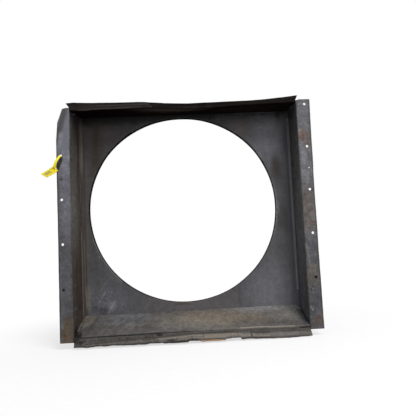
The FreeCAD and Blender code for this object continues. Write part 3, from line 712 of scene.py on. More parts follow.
def makeFanRing():
    front, rear, thick, small = [fanRing[key] for key in ("front", "rear", "thickness", "round")]
    section = [(front, 0), (front + 8, 0), (front + 16, 0), (rear - small, 0), (rear, small),
               (rear, thick - small), (rear - small, thick), (front + 16, thick), (front + 8, thick), (front, thick)]
    rings = []
    for angle in turnsOf(box["openingSteps"]):
        bend = noise.noise(Vector((math.cos(angle) * 3, math.sin(angle) * 3, 5))) * fanRing["wave"] * 2
        ring = []
        for y, out in section:
            free = ((y - front) / (rear - front)) ** 2
            ring.append(ringPoint(angle, out + bend * free, y + bend * 0.6 * free)[0])
        rings.append(ring)
    mesh = meshOfParts("fan_ring_hoop", [loft(rings, closed=True)])
    addPiece("fan_ring_hoop", mesh, steelMaterial("fan_ring_paint", fanRing), ["fan_ring"])


makeFanRing()
print("fan ring ready")


def follow(x, table):
    return np.interp(x, [p[0] for p in table], [p[1] for p in table])


# The lips' shapes along X, as (x, z) in millimetres, and how far the mouth is pushed down or up
topLip = {
    "sag": [(-470, -3), (-440, -5.5), (-400, -6.5), (-339, -4.5), (-259, -4.5), (-177, -1.5), (-150, -3),
            (-129, -6), (6, -10), (108, -9), (199, -6), (316, -4), (424, -1), (470, 0)],
    "crease": 470.0,
    "edge": [(-475, 480), (-441, 481.7), (-369, 479), (-273, 476.5), (-188, 476.5), (-151, 475), (-120, 471.5),
             (-79, 468.5), (19, 466.6), (93, 467.5), (167, 468), (266, 468.5), (341, 471), (416, 477),
             (470, 482)],
    "kink": {"x": -142, "width": 12, "depth": 2.2},
    "reach": 7.0,          # how far the flare leans forward
    "spread": (11.0, 6.5),     # how far the flare's left and right ends run out
    "lap": 9.5,
    "ragged": 0.3,
    "noise": 11,           # seed of its waves and dents
    # The near-black paint is partly the wall's own dark grime and partly painted shade on its underside, which gets
    # little light; faces that look up take the plain 'upper' colour instead
    "seed": 4.0, "paint": (0.02, 0.014, 0.013), "worn": (0.03, 0.02, 0.018), "bump": 0.7, "gloss": 0.0,
    "contrast": 0.9, "smooth": 0.6, "rough": 0.85, "upper": (0.06, 0.056, 0.056),
}
topLip["broad"] = [
    spot((-60, 30, 448), (220, 110, 40), (0.2, 0.145, 0.13), 0.95, 0.9),
    spot((-360, 70, 455), (190, 120, 30), (0.016, 0.008, 0.008), 0.97, 0.7),
    spot((280, 90, 458), (220, 120, 30), (0.05, 0.032, 0.028), 0.92, 0.8),
]
topLip["marks"] = [
    area((-480, -12, 456), (-140, 3, 490), 3, (0.032, 0.028, 0.026), 0.95),
    area((-140, -12, 452), (60, 3, 490), 4, (0.0135, 0.011, 0.0105), 0.9),
    area((-170, -12, 436), (90, 5, 460), 5, (0.013, 0.0105, 0.01), 0.92),
    line((-350, 0, 466), (-155, 0, 468), 4, (0.065, 0.06, 0.056), 0.7, 0.4),
    line((-430, 0, 451), (-339, 0, 454), 4, (0.065, 0.055, 0.05), 0.75, 0.3),
    line((-339, 0, 454), (-219, 0, 456), 4, (0.07, 0.065, 0.06), 0.75, 0.3),
    line((-219, 0, 456), (-140, 0, 457), 4, (0.06, 0.054, 0.05), 0.75, 0.3),
    line((-460, 0, 461), (-150, 0, 462), 3.0, (0.017, 0.014, 0.013), 0.7, 0.4),
    line((-156, 0, 472), (-130, 0, 453), 3.5, (0.06, 0.054, 0.052), 0.85),
    line((-2, 0, 446), (200, 0, 451), 3.5, (0.045, 0.04, 0.038), 0.75, 0.3),
    line((200, 0, 451), (240, 0, 459), 3.5, (0.04, 0.036, 0.033), 0.7, 0.3),
    area((60, -12, 450), (480, 3, 490), 4, (0.0095, 0.0082, 0.0075), 0.85),
    line((233, 0, 461), (451, 0, 472), 4, (0.027, 0.025, 0.022), 0.8, 0.5),
    line((240, 0, 455), (460, 0, 462), 3, (0.022, 0.02, 0.018), 0.7, 0.5),
    line((-480, -6, 480), (480, -6, 478), 5, (0.012, 0.011, 0.01), 0.6),
    spot((-430, 0, 470), (22, 14, 8), (0.03, 0.019, 0.018), 0.8, 0.8, 0.6),
    spot((-60, 40, 455), (3, 4, 4), (0.05, 0.045, 0.04), 0.8),
    area((-480, 2, 475), (480, 170, 500), 6, (0.05, 0.047, 0.046), 0.9),
]

bottomLip = {
    "sag": [(-470, 0), (-131, 2), (26, 1), (120, 0), (250, 0), (470, 0)],
    "crease": [(-463, -478), (-422, -480), (-326, -476.5), (-171, -471), (-14, -463), (144, -465), (302, -470),
               (422, -475), (470, -476)],
    "edge": [(-463, -488), (-414, -490), (-383, -488.2), (-351, -489.5), (-319, -488.4), (-277, -489.8),
             (-181, -490.3), (-172, -488.7), (-121, -488.7), (-117, -490.2), (-24, -489), (-16, -484.5),
             (26, -485), (30, -489), (60, -488.5), (122, -490), (126, -486), (155, -484), (183, -484.5),
             (187, -491), (218, -490.7), (282, -492.7), (345, -494), (408, -494), (440, -493.3), (470, -492.5)],
    "kink": {"x": 224, "width": 9, "depth": 2.5},
    # the slot at its right end, as (x, z)
    "slot": [(418.5, -458.6), (425, -458.0), (475, -458.2), (475, -463.6), (440, -464.2), (421, -463.4)],
    "reach": 11.0,
    "spread": (-3.5, 5.0),
    "lap": 12.5,
    "ragged": 1.0,
    "noise": 17,
    "flareHeight": 10.0,   # the flare's height as the marks that follow it count it
    "seed": 6.0, "paint": (0.1, 0.094, 0.09), "worn": (0.088, 0.081, 0.076), "bump": 0.8, "contrast": 0.95,
}
# What both walls' sheets have in common, in millimetres
wallSheet = {
    "columns": 320,
    "front": 2.0,          # the lip's middle surface
    "behind": 3.0,         # the lap's, behind the rear panel
    "bend": 3.0,
    "flareRun": 15.0,      # a flare this high leans forward by the lip's reach
    "wave": 1.2, "waveSize": 170.0,
    "outFrom": 462.3, "outOver": 16.0,     # the lip's ends run outwards above this height
    "sagDepth": 135.0, "sagFade": 1.6,     # the mouth's sag dies away towards the rear panel
    "tipFrom": 476.0, "tipOver": 10.0,     # the ragged edge starts at this height
}


def lipFrontY(lip, x, z):
    # the lip's middle surface at a height: upright above its crease, leaning forward below
    crease, edge = follow(x, lip["crease"]), follow(x, lip["edge"])
    down = np.clip((crease - z) / (crease - edge), 0, 1.2)
    return wallSheet["front"] - lip["reach"] * (crease - edge) / wallSheet["flareRun"] * down


def onLip(mark):
    # a mark whose places are (X, 0, down the flare)
    return {**mark, "onLip": True}


def lipLine(start, end, down, *look):
    # a mark along the flare; down is 0 at its crease and 1 at its edge
    z = -bottomLip["flareHeight"] * down
    return onLip(line((start, 0, z), (end, 0, z), *look))


bottomLip["broad"] = [
    spot((-290, 115, -415), (190, 75, 70), (0.092, 0.09, 0.094), 0.9, 0.8),
    spot((110, 95, -425), (330, 120, 70), (0.152, 0.129, 0.1), 0.9, 0.8),
    spot((330, 140, -405), (260, 60, 50), (0.19, 0.187, 0.182), 0.8, 0.9),
    spot((400, 90, -420), (110, 80, 60), (0.17, 0.162, 0.15), 0.85, 0.9),
    spot((-200, 40, -440), (95, 45, 30), (0.058, 0.05, 0.046), 0.85, 0.8),
    spot((-400, 40, -440), (80, 60, 40), (0.06, 0.058, 0.057), 0.8, 0.8),
    spot((240, 50, -435), (120, 30, 30), (0.115, 0.098, 0.08), 0.7, 0.9),
    area((-466, 95, -470), (-425, 165, -380), 22, (0.13, 0.113, 0.092), 0.8),
    spot((-270, 145, -404), (130, 26, 20), (0.13, 0.13, 0.145), 0.8, 0.8),
    spot((310, 150, -402), (190, 24, 20), (0.21, 0.21, 0.215), 0.75, 0.8),
]
bottomLip["marks"] = [
    area((-470, -1, -473), (470, 3.5, -456), 4, (0.088, 0.08, 0.072), 0.65),
    area((448, 5, -470), (470, 118, -400), 9, (0.045, 0.046, 0.053), 0.85, 0.15),
    line((461, 118, -413), (462, 12, -450), 3.5, "black", 0.95),
    line((428, 96, -422), (446, 120, -413), 5, "soot", 0.8, 0.5),
    line((385, 40, -440), (444, 34, -444), 6, (0.05, 0.047, 0.045), 0.6, 0.5),
    line((-426, 18, -447), (-402, 142, -405), 13, (0.05, 0.047, 0.043), 0.7, 0.35),
    line((-440, 95, -422), (-420, 150, -402), 15, (0.14, 0.12, 0.098), 0.6, 0.5),
    spot((-165, 88, -424), (50, 28, 20), (0.05, 0.043, 0.04), 0.7, 0.8, 0.4),
    spot((-330, 60, -433), (70, 22, 16), (0.058, 0.056, 0.056), 0.5, 0.8, 0.4),
    line((300, 30, -443), (420, 26, -444), 7, (0.05, 0.046, 0.042), 0.7, 0.3),
    spot((215, 46, -438), (16, 18, 12), (0.07, 0.058, 0.048), 0.7),
    spot((-4, 143, -404), (5, 6, 5), "rust", 0.7),
    spot((186, 78, -427), (7, 6, 5), "brown", 0.6),
    spot((311, 36, -441), (5, 5, 5), "brown", 0.7),
    spot((312, 60, -433), (5, 5, 5), "brown", 0.6),
    # painted shadow: black in the bottom-left corner of the box
    area((-466, -2, -480), (-449, 40, -430), 8, "black", 0.95),
    area((-466, 1, -452), (-441, 26, -436), 7, "black", 0.95),
    line((-461, 140, -405), (-450, 25, -446), 6, "brown", 0.8, 0.2),
    line((-452, 0.5, -454), (-131, 1.4, -452.5), 5.0, "black", 1.0),
    line((-131, 1.4, -452.5), (80, 1.4, -453.5), 3.6, "black", 0.9, 0.2),
    line((80, 1.4, -454), (180, 1.4, -455), 3.2, "brown", 0.75, 0.4),
    # pale lines along the crest of the bottom wall's front bend: dust, and a painted highlight where the bend
    # catches light
    line((86, 17, -447.5), (190, 6, -451.5), 5.0, (0.2, 0.172, 0.14), 0.7, 0.4),
    line((190, 6, -451.5), (273, 6, -451.5), 6.0, "dustAndSheen", 0.9, 0.25),
    line((273, 5, -451.5), (400, 1, -455), 6.0, "dustAndSheen", 0.9, 0.25),
    area((180, -1, -473), (440, 3.5, -457), 6, (0.1, 0.09, 0.079), 0.65, 0.3),
    line((120, 0, -459), (415, 0, -461), 3.5, "brown", 0.5, 0.5),
    spot((-133, 0, -459), (17, 10, 7), "black", 0.9, 0.5, 0.2),
    spot((400, 0, -466), (30, 10, 7), "soot", 0.6, 0.8, 0.5),
    spot((270, 0, -462), (14, 10, 5), "soot", 0.6, 0.8, 0.4),
    line((-379, 0, -456), (-378, 0, -466), 2.4, "chalk", 0.5),
    line((-440, 0, -463), (-200, 0, -459), 3, "cream", 0.3, 0.7),
    line((-100, 0, -457), (60, 0, -457), 2.5, "cream", 0.4, 0.6),
    lipLine(-150, 190, 0.25, 1.8, (0.28, 0.24, 0.19), 0.8, 0.5),
    lipLine(-60, 140, 0.55, 1.4, "cream", 0.7, 0.6),
    lipLine(40, 240, 0.45, 2.2, (0.24, 0.21, 0.17), 0.75, 0.4),
    lipLine(232, 300, 0.55, 2.8, "cream", 0.75, 0.5),
    lipLine(290, 414, 0.42, 2.4, (0.21, 0.18, 0.148), 0.6, 0.6),
    lipLine(-420, -160, 0.45, 3.5, (0.22, 0.19, 0.155), 0.65, 0.6),
    lipLine(-330, -180, 0.75, 2.2, (0.3, 0.27, 0.23), 0.6, 0.7),
    lipLine(-430, -140, 0.3, 5.0, (0.03, 0.024, 0.019), 0.75, 0.95),
    line((-440, 0, -466), (-160, 0, -462), 8, (0.035, 0.028, 0.022), 0.7, 0.95),
    lipLine(-422, -171, -0.1, 3.0, "brown", 0.9, 0.3),
    lipLine(-171, 40, -0.05, 1.6, "brown", 0.85, 0.3),
    lipLine(40, 144, -0.08, 1.5, "soot", 0.8, 0.4),
    # painted shadow: a black line along the crease between the lip's upright band and its flare
    lipLine(144, 225, 0.0, 1.8, "black", 0.6, 0.4),
    lipLine(225, 302, 0.05, 2.0, "black", 0.85, 0.25),
    lipLine(302, 418, 0.05, 1.8, "brown", 0.8, 0.4),
    lipLine(-150, 20, 0.78, 1.5, "brown", 0.65, 0.5),
    lipLine(190, 330, 0.85, 1.4, "soot", 0.7, 0.4),
    lipLine(-102, -76, 0.55, 2.2, "black", 0.85, 0.2),
    lipLine(-458, -165, 0.95, 5.5, "underEdge", 1.0, 0.2),
    lipLine(-165, 28, 0.98, 3.6, "underEdge", 0.98, 0.25),
    lipLine(-290, -170, 1.1, 2.5, "rust", 0.6, 0.7),
    lipLine(31, 122, 1.0, 3.0, (0.34, 0.19, 0.07), 1.0, 0.2),
    lipLine(31, 122, 0.78, 1.3, "soot", 0.9, 0.2),
    lipLine(122, 187, 1.0, 2.0, "soot", 0.95, 0.1),
    lipLine(187, 465, 0.95, 3.2, (0.02, 0.009, 0.006), 1.0, 0.15),
    lipLine(200, 300, 1.08, 1.3, (0.2, 0.08, 0.035), 0.8, 0.6),
    onLip(line((226, 0, -3), (230, 0, -5.6), 2.2, "black", 1.0)),
    onLip(line((172, 0, -1), (176, 0, -5), 2.0, "brown", 0.7)),
    onLip(line((37, 0, -1), (41, 0, -6), 2.5, "brown", 0.6)),
]
bottomLip["streaks"] = [
    streak((0, 0, 1), 24, 0.02, (1, 0.1, 1), 2, 0.5, 0.66, 0.6, (0.16, 0.155, 0.15), (-330, 85, -430),
           (240, 100, 90)),
    streak((0, 0, 1), 38, 0.022, (1, 0.1, 1), 6, 0.5, 0.66, 0.55, (0.19, 0.18, 0.165), (-60, 95, -425),
           (220, 100, 90)),
    streak((0, 0, 1), 0, 0.02, (0.12, 1, 1), 9, 0.54, 0.7, 0.45, (0.075, 0.064, 0.052), (250, 60, -430),
           (300, 90, 90)),
]


def wallGrid(lip, up, wallZ, creaseAt):
    # the wall bent from its lap behind the rear panel, along the box, to the lip at the mouth
    shares = np.linspace(-1, 1, wallSheet["columns"])
    back, front = box["depth"] + wallSheet["behind"], wallSheet["front"]
    lapEnd = wallZ(back) - up * lip["lap"]
    rows = []
    for place in shares * (box["endX"] + 3):
        edge, crease = follow(place, lip["edge"]), creaseAt(place)
        corners = [(back, lapEnd), (back, wallZ(back) + up), (front, wallZ(front) + up), (front, crease),
                   (front - lip["reach"] * abs(edge - crease) / wallSheet["flareRun"], edge)]
        path = bentPath(corners, wallSheet["bend"], (3, 34, 4, 4), 4)
        rows.append([(0.0, y, z) for y, z in path])
    grid = np.array(rows).transpose(1, 0, 2)
    x, y, z = axesOf(grid)
    # the lip's ends run outwards with height; everything lower is cut square
    outside = np.clip((up * z - wallSheet["outFrom"]) / wallSheet["outOver"], 0, 1)
    x[:] = shares * (box["endX"] + outside * np.where(shares < 0, *lip["spread"]))
    # the mouth sags or is pushed in, and this dies away towards the rear panel
    depthShare = np.clip(1 - y / wallSheet["sagDepth"], 0, 1) ** wallSheet["sagFade"]
    inLip = np.clip((up * z - box["mouth"] - 6) / 10, 0, 1) * (y < 6)
    z += follow(x, lip["sag"]) * depthShare * (1 - inLip)
    calm = np.clip((box["endX"] - np.abs(x)) / 60, 0.15, 1) * np.clip((150 - y) / 40, 0, 1)
    seed = lip["noise"]
    z += softNoise(grid, wallSheet["waveSize"], seed) * calm * wallSheet["wave"] * 2
    # the lip is dented and its edge ragged
    fade = np.clip((up * z - box["mouth"]) / 20, 0, 1) * (y < 20)
    tip = np.clip((up * z - wallSheet["tipFrom"]) / wallSheet["tipOver"], 0, 1)
    z += tip * (softNoise(grid, 9, seed + 3) * 0.9 + softNoise(grid, 25, seed + 4) * 0.9) * lip["ragged"]
    y += (softNoise(grid, 60, seed + 1) * 1.6 + softNoise(grid, 17, seed + 2) * 0.5) * fade
    kink = lip["kink"]
    y += fade * kink["depth"] * np.exp(-((x - kink["x"]) / kink["width"]) ** 2)
    return grid


def makeWall(name, lip, up, wallZ, creaseAt):
    mesh = plateMesh(name + "_sheet", wallGrid(lip, up, wallZ, creaseAt), box["thickness"])
    if "slot" in lip:
        mesh = cutAway(mesh, [lip["slot"]], -9, 9)
    addPiece(name + "_sheet", mesh, steelMaterial(name + "_paint", lip), [name])


makeWall("top_wall", topLip, 1, topWallZ, lambda x: min(topLip["crease"], follow(x, topLip["edge"]) - 5.0))
makeWall("bottom_wall", bottomLip, -1, bottomWallZ, lambda x: follow(x, bottomLip["crease"]))
print("top and bottom walls ready")

# The corner tabs on the bottom lip; each outline is (z, left x, right x) from the top down
cornerTabs = {
    "left": {"outline": [(-455, -463, -457), (-461, -463.5, -449), (-466, -464, -436), (-470, -464, -427),
                         (-474, -464, -431), (-479, -464, -437), (-483, -464, -435), (-487.5, -464, -436)],
             "crumple": 2.2, "seed": 31, "lift": 2.3},
    "right": {"outline": [(-464.2, 419, 463), (-468, 418.5, 463.5), (-474, 419, 464.5), (-479, 420, 466),
                          (-485, 419.5, 467.5), (-491, 419, 469.5)],
              "crumple": 0.9, "seed": 37, "lift": 2.1},
    "thickness": 1.8,
    # strip behind the slot: X from and to, Z from and to, its middle's Y and its thickness
    "backing": {"x": (417.0, 465.5), "z": (-457.2, -470.0), "y": 3.9, "thickness": 1.2},
    "seed": 19.0, "paint": (0.03, 0.028, 0.027), "worn": (0.042, 0.039, 0.037), "bump": 0.8, "contrast": 0.9,
}
cornerTabs["marks"] = [
    area((415, -30, -500), (475, 2.6, -464), 1.0, (0.088, 0.079, 0.069), 0.95),
    line((420, -3, -474.5), (466, -3, -476), 2.5, "brown", 0.8, 0.2),
    line((425, -3, -480), (465, -6, -485), 4, "cream", 0.4, 0.5),
    line((418, -10, -491), (470, -10, -492), 3, "darkRust", 0.8, 0.2),
    # painted shade: the strip behind the slot is black, so the slot looks like a dark recess
    area((410, 2.7, -470), (470, 6, -450), 0.5, "black", 1.0),
    # painted shadow: black on the left tab in the bottom-left corner
    spot((-460, 0, -462), (14, 20, 14), "black", 0.9),
    line((-462, -2, -470), (-428, -2, -470), 3, "black", 0.7, 0.2),
    line((-465, -8, -487), (-436, -8, -487), 3, "black", 0.8, 0.2),
]


def tabMesh(tab):
    table = np.array(tab["outline"])[::-1]
    heights = np.linspace(table[-1, 0], table[0, 0], 26)
    shares = column(np.linspace(0, 1, 30))
    left, right = [np.interp(heights, table[:, 0], table[:, k]) for k in (1, 2)]
    grid = gridOf(left + (right - left) * shares, 0.0, heights)
    rough = softNoise(grid, 11, tab["seed"]) + 0.4 * softNoise(grid, 5, tab["seed"] + 1)
    x, y, z = axesOf(grid)
    y[:] = lipFrontY(bottomLip, x, z) - tab["lift"]
    y -= np.abs(rough) * tab["crumple"]
    return plateMesh("left_corner_tab", grid, cornerTabs["thickness"])


def backingMesh():
    backing = cornerTabs["backing"]
    grid = gridOf(column(np.linspace(*backing["x"], 24)), 0.0, np.linspace(*backing["z"], 8))
    grid[:, :, 1] = backing["y"] + softNoise(grid, 14, 41) * 0.3
    return plateMesh("backing", grid, backing["thickness"])


def makeCornerTabs():
    paint = steelMaterial("corner_tab_paint", cornerTabs)
    left = tabMesh(cornerTabs["left"])
    addPiece("left_corner_tab", left, paint, ["bottom_left_corner_tab"])
    bm = bmesh.new()
    for part in (tabMesh(cornerTabs["right"]), backingMesh()):
        bm.from_mesh(part)
        bpy.data.meshes.remove(part)
    right = bpy.data.meshes.new("right_corner_tab")
    bm.to_mesh(right)
    bm.free()
    addPiece("right_corner_tab", right, paint, ["bottom_right_corner_tab"])


makeCornerTabs()
print("corner tabs ready")

# The side rails: side wall and bolt flange in one sheet
rails = {
    "back": 158.0,
    "rows": [-444.5, -266.7, -88.9, 88.9, 266.7, 444.5],
    "holeX": 500.0, "holeRadius": 5.15,
    "clipX": 502.5, "clipRows": [-177.8, 177.8], "clipRadius": 2.5,
    "rightRise": 3.0,      # the right flange stands this much higher at its top
    "rightEdge": [(-470, 3.6), (-380, 3.0), (-300, 2.9), (-240, 2.0), (0, 2.0), (60, 1.2), (150, 1.5),
                  (200, 3.2), (300, 3.3), (400, 4.6), (465, 5.6)],     # its outer edge wanders outwards
    "fold": {"inset": 44.0, "lean": 16.6, "angle": 25.0, "acrossCut": 22.5, "downCut": 58.0, "roll": 5.0},
}
leftRail = {"seed": 9.0, "paint": (0.098, 0.098, 0.11), "worn": (0.085, 0.084, 0.092), "contrast": 0.8}
leftRail["broad"] = [
    spot((-484, 0, 330), (60, 20, 330), (0.185, 0.187, 0.215), 0.95, 0.7),
    spot((-480, 0, 80), (50, 20, 220), (0.15, 0.15, 0.172), 0.8, 0.8),
    area((-467, 6, -480), (-463, 165, 480), 3, (0.048, 0.038, 0.028), 1.0),
    spot((-464, 90, 330), (9, 120, 240), (0.056, 0.048, 0.041), 0.85, 0.6),
    spot((-464, 60, 230), (14, 70, 160), (0.078, 0.067, 0.057), 0.65, 0.8),
    spot((-464, 85, -190), (9, 130, 330), (0.036, 0.0255, 0.0165), 0.92, 0.5),
    spot((-482, 0, -440), (34, 20, 80), (0.095, 0.072, 0.05), 0.95, 0.3),
]
leftRail["marks"] = [
    area((-466, 4, -480), (-463, 12, 455), 3.5, "brown", 0.8, 0.1),
    line((-465, 34, 420), (-465, 30, -380), 8, "oliveDust", 0.25, 0.6),
    line((-465, 62, 380), (-465, 66, 60), 7, "brown", 0.7, 0.3),
    line((-465, 95, 420), (-465, 92, -300), 12, "oliveDust", 0.25, 0.5),
    line((-465, 122, 420), (-465, 122, -330), 13, "brown", 0.8, 0.2),
    spot((-464, 85, -440), (9, 120, 70), "brown", 0.8, 0.5),
    # painted shadow: black at the foot of the left wall, in the bottom-left corner
    spot((-464, 30, -455), (9, 40, 60), "black", 0.95, 0.6),
    spot((-464, 14, 254), (8, 13, 12), "black", 0.95),
    spot((-464, 120, 100), (6, 26, 9), "brown", 0.9, 0.6),
    spot((-464, 14, 110), (6, 8, 22), "soot", 0.6, 0.8, 0.6),
    line((-464, 80, 115), (-464, 112, 96), 11, "black", 0.85, 0.3),
    line((-464, 103, 247), (-464, 100, -60), 14, "soot", 0.8, 0.35),
    line((-464, 84, -60), (-464, 100, 90), 8, "soot", 0.5, 0.6),
    spot((-464, 120, -60), (6, 24, 70), "brown", 0.5, 0.9),
    spot((-464, 100, 440), (6, 60, 30), "soot", 0.6, 0.9),
    line((-516.5, 0, 305), (-516.5, 0, -465), 5.5, (0.018, 0.017, 0.02), 0.88, 0.3),
    # painted shade: a darker line along the bend between the left flange and the wall
    line((-465.5, 0, 455), (-465.5, 0, -465), 3, (0.045, 0.043, 0.047), 0.6, 0.2),
    line((-465, 0, 452), (-484, 0, 300), 22, (0.15, 0.15, 0.178), 0.75),
    # painted shade: the corner leaf, turned back about its fold, is darker because it faces away from the light
    line((-478, 3, 466), (-503, 5, 374), 19, (0.075, 0.075, 0.077), 0.96),
    line((-508, 5, 380), (-518, 2, 318), 11, (0.072, 0.072, 0.074), 0.92),
    spot((-486, 0, -430), (26, 12, 60), (0.12, 0.092, 0.062), 0.5, 0.6, 0.8),
    spot((-478, 0, -372), (20, 12, 12), (0.1, 0.07, 0.045), 0.7, 0.6, 0.6),
    line((-474, 0, -370), (-470, 0, -455), 9, "mud", 0.6, 0.6),
    line((-518, 0, -471), (-468, 0, -471), 3.5, "rust", 0.8, 0.4),
    spot((-516, 0, -470), (7, 6, 7), "orange", 0.8, 0.7, 0.4),
    line((-480, 0, -470), (-462, 0, -478), 4, "rust", 0.8, 0.2),
    spot((-500, 1, -445), (6, 6, 6), "orange", 0.4, 0.5, 0.4),
    spot((-500, 1, -266.7), (8, 6, 8), "soot", 0.6, 0.5),
    spot((-501, 0, 174), (10, 6, 14), "soot", 0.75, 0.6),
    spot((-501, 0, -180), (6, 6, 6), "scuff", 0.6),
    spot((-500, 0, 266.7), (13, 6, 13), "soot", 0.5),
    # painted shadow: the seal strap's cast shadow on the flange
    line((-499, 0, 254), (-514, 0, 214), 10.5, (0.011, 0.008, 0.0085), 0.97),
    spot((-513, 0, 150), (6, 6, 70), (0.04, 0.037, 0.036), 0.6, 0.9),
    spot((-491, 0, -60), (3, 6, 3), "soot", 0.6),
    spot((-482, 0, -150), (4, 6, 4), "paleSlate", 0.5),
    spot((-508, 0, -410), (6, 6, 8), "chalk", 0.4, 0.8, 0.6),
]
leftRail["streaks"] = [
    streak((0, 0, 1), 0, 0.013, (0.3, 1, 0.045), 4, 0.5, 0.68, 0.45, (0.03, 0.025, 0.02), (-465, 80, 0),
           (8, 160, 700)),
]

rightRail = {"seed": 13.0, "paint": (0.1, 0.098, 0.104), "worn": (0.082, 0.079, 0.083), "contrast": 1.15}
rightRail["broad"] = [
    spot((490, 0, 400), (50, 20, 130), "grey", 0.8, 0.9),
    spot((486, 0, 200), (45, 20, 130), (0.16, 0.16, 0.178), 0.8, 0.9),
    spot((490, 0, 0), (45, 20, 150), (0.12, 0.108, 0.1), 0.85, 0.7),
    spot((490, 0, -160), (45, 20, 80), (0.085, 0.087, 0.1), 0.8, 0.7),
    spot((495, 0, -330), (45, 20, 110), (0.072, 0.07, 0.076), 0.8, 0.7),
    area((463, 6, -480), (467, 165, 480), 3, (0.06, 0.056, 0.056), 1.0),
    spot((464, 100, -200), (20, 90, 330), "grey", 0.85, 0.9),
    spot((464, 100, 450), (20, 110, 70), (0.014, 0.012, 0.012), 0.8, 0.9),
    spot((482, 0, -262), (60, 12, 66), (0.112, 0.096, 0.085), 0.85, 0.9),
]
rightRail["marks"] = [
    area((463, 126, -400), (468, 137, 420), 4, (0.034, 0.032, 0.033), 0.6),
    spot((464, 89, 141), (6, 7, 7), "black", 0.9),
    line((465, 50, 350), (465, 46, 60), 6, "soot", 0.6, 0.4),
    spot((464, 15, -462), (9, 30, 34), (0.013, 0.013, 0.015), 0.9, 0.7),
    line((464, 135, -398), (464, 8, -455), 4, "black", 0.9),
    line((467, 0, 460), (467, 0, -465), 4, (0.05, 0.046, 0.044), 0.5, 0.3),
    line((516.5, 0, 458), (516.5, 0, -470), 4, (0.045, 0.037, 0.033), 0.75, 0.3),
    spot((486, 0, 314), (26, 12, 46), (0.15, 0.125, 0.115), 0.7, 0.8, 0.3),
    spot((483, 0, 318), (20, 12, 30), (0.11, 0.055, 0.036), 0.7, 0.9, 0.8),
    spot((482, 0, 306), (15, 12, 20), "darkRust", 0.85, 0.8, 0.9),
    spot((500, 0, 268), (20, 12, 20), (0.07, 0.05, 0.042), 0.7, 0.6, 0.4),
    spot((474, 0, 330), (9, 8, 20), "chalk", 0.5, 0.8, 0.8),
    spot((493, 0, 128), (11, 8, 34), "chalk", 0.4, 0.8, 0.5),
    spot((484, 0, 225), (16, 8, 42), (0.22, 0.22, 0.25), 0.5, 0.8, 0.5),
    line((503, 0, 250), (508, 0, 120), 5, (0.045, 0.04, 0.04), 0.6, 0.6),
    spot((482, 0, 70), (9, 6, 12), "rust", 0.6, 0.8, 0.9),
    spot((488, 0, 12), (14, 6, 12), "rust", 0.5, 0.8, 0.9),
    spot((495, 0, -48), (14, 6, 18), "rust", 0.5, 0.8, 0.9),
    spot((490, 0, 90), (22, 6, 18), "brown", 0.4, 0.8, 0.8),
    line((467, 0, -135), (483, 0, -215), 7, (0.24, 0.22, 0.2), 0.6, 0.6),
    line((484, 0, -224), (512, 0, -218), 5, (0.23, 0.19, 0.15), 0.6, 0.7),
    spot((500, 0, -236), (14, 12, 16), (0.2, 0.17, 0.14), 0.5, 0.8, 0.8),
    spot((478, 0, -315), (6, 6, 6), "black", 0.9),
    spot((487, 0, -312), (5, 6, 4), "chalk", 0.35),
    spot((474, 0, -385), (6, 6, 12), "chalk", 0.55, 0.8, 0.6),
    spot((480, 0, -394), (6, 6, 6), "chalk", 0.6),
    spot((503, 0, -436), (20, 8, 26), (0.085, 0.045, 0.034), 0.85, 0.5, 0.3),
    spot((513, 0, -410), (6, 6, 26), (0.15, 0.13, 0.1), 0.5, 0.8, 0.5),
    spot((502, 0, -443), (13, 8, 13), (0.15, 0.13, 0.12), 0.6, 0.5, 0.4),
    spot((480, 0, -455), (24, 8, 20), (0.07, 0.052, 0.043), 0.75, 0.8, 0.4),
    line((470, 0, -471), (517, 0, -471), 4, "darkRust", 0.7, 0.3),
    spot((501, 0, -266), (10, 6, 10), "soot", 0.7, 0.5),
    spot((505, 0, -176), (10, 6, 10), "scuff", 0.5, 0.7),
]
rightRail["streaks"] = [
    streak((0, 0, 1), 0, 0.015, (0.3, 1, 0.05), 7, 0.5, 0.7, 0.4, (0.05, 0.046, 0.046), (465, 80, 0),
           (8, 160, 700)),
    streak((0, 1, 0), 20, 0.009, (1, 1, 1), 3, 0.47, 0.54, 1.0, (0.125, 0.045, 0.022), (484, 0, 316),
           (26, 14, 38)),
    streak((0, 1, 0), 20, 0.008, (1, 1, 1), 8, 0.5, 0.57, 0.9, (0.06, 0.026, 0.018), (492, 0, 296),
           (30, 14, 46)),
    streak((0, 1, 0), 0, 0.006, (1, 1, 1), 5, 0.55, 0.66, 0.6, (0.17, 0.075, 0.045), (490, 0, 20),
           (30, 12, 110)),
    streak((0, 1, 0), 0, 0.007, (1, 1, 1), 6, 0.56, 0.68, 0.5, (0.24, 0.235, 0.24), (490, 0, 330),
           (30, 12, 130)),
]


def foldCorner(grid):
    # the corner leaf beyond the slanted fold line turns back about it
    x, y, z = axesOf(grid)
    fold = rails["fold"]
    lean, angle, roll = math.radians(fold["lean"]), math.radians(fold["angle"]), fold["roll"]
    awayX, awayZ = -math.cos(lean), math.sin(lean)
    beyond = (x - (fold["inset"] - box["flangeX"])) * awayX + (z - box["flangeTop"]) * awayZ
    beyond = np.where((y < 2.5) & (x < -470), np.clip(beyond, 0, None), 0)
    bent = np.where(beyond < roll, beyond ** 2 / (2 * roll), beyond - roll / 2)
    pull = bent * (1 - math.cos(angle))
    x -= awayX * pull
    z -= awayZ * pull
    y += bent * math.sin(angle)


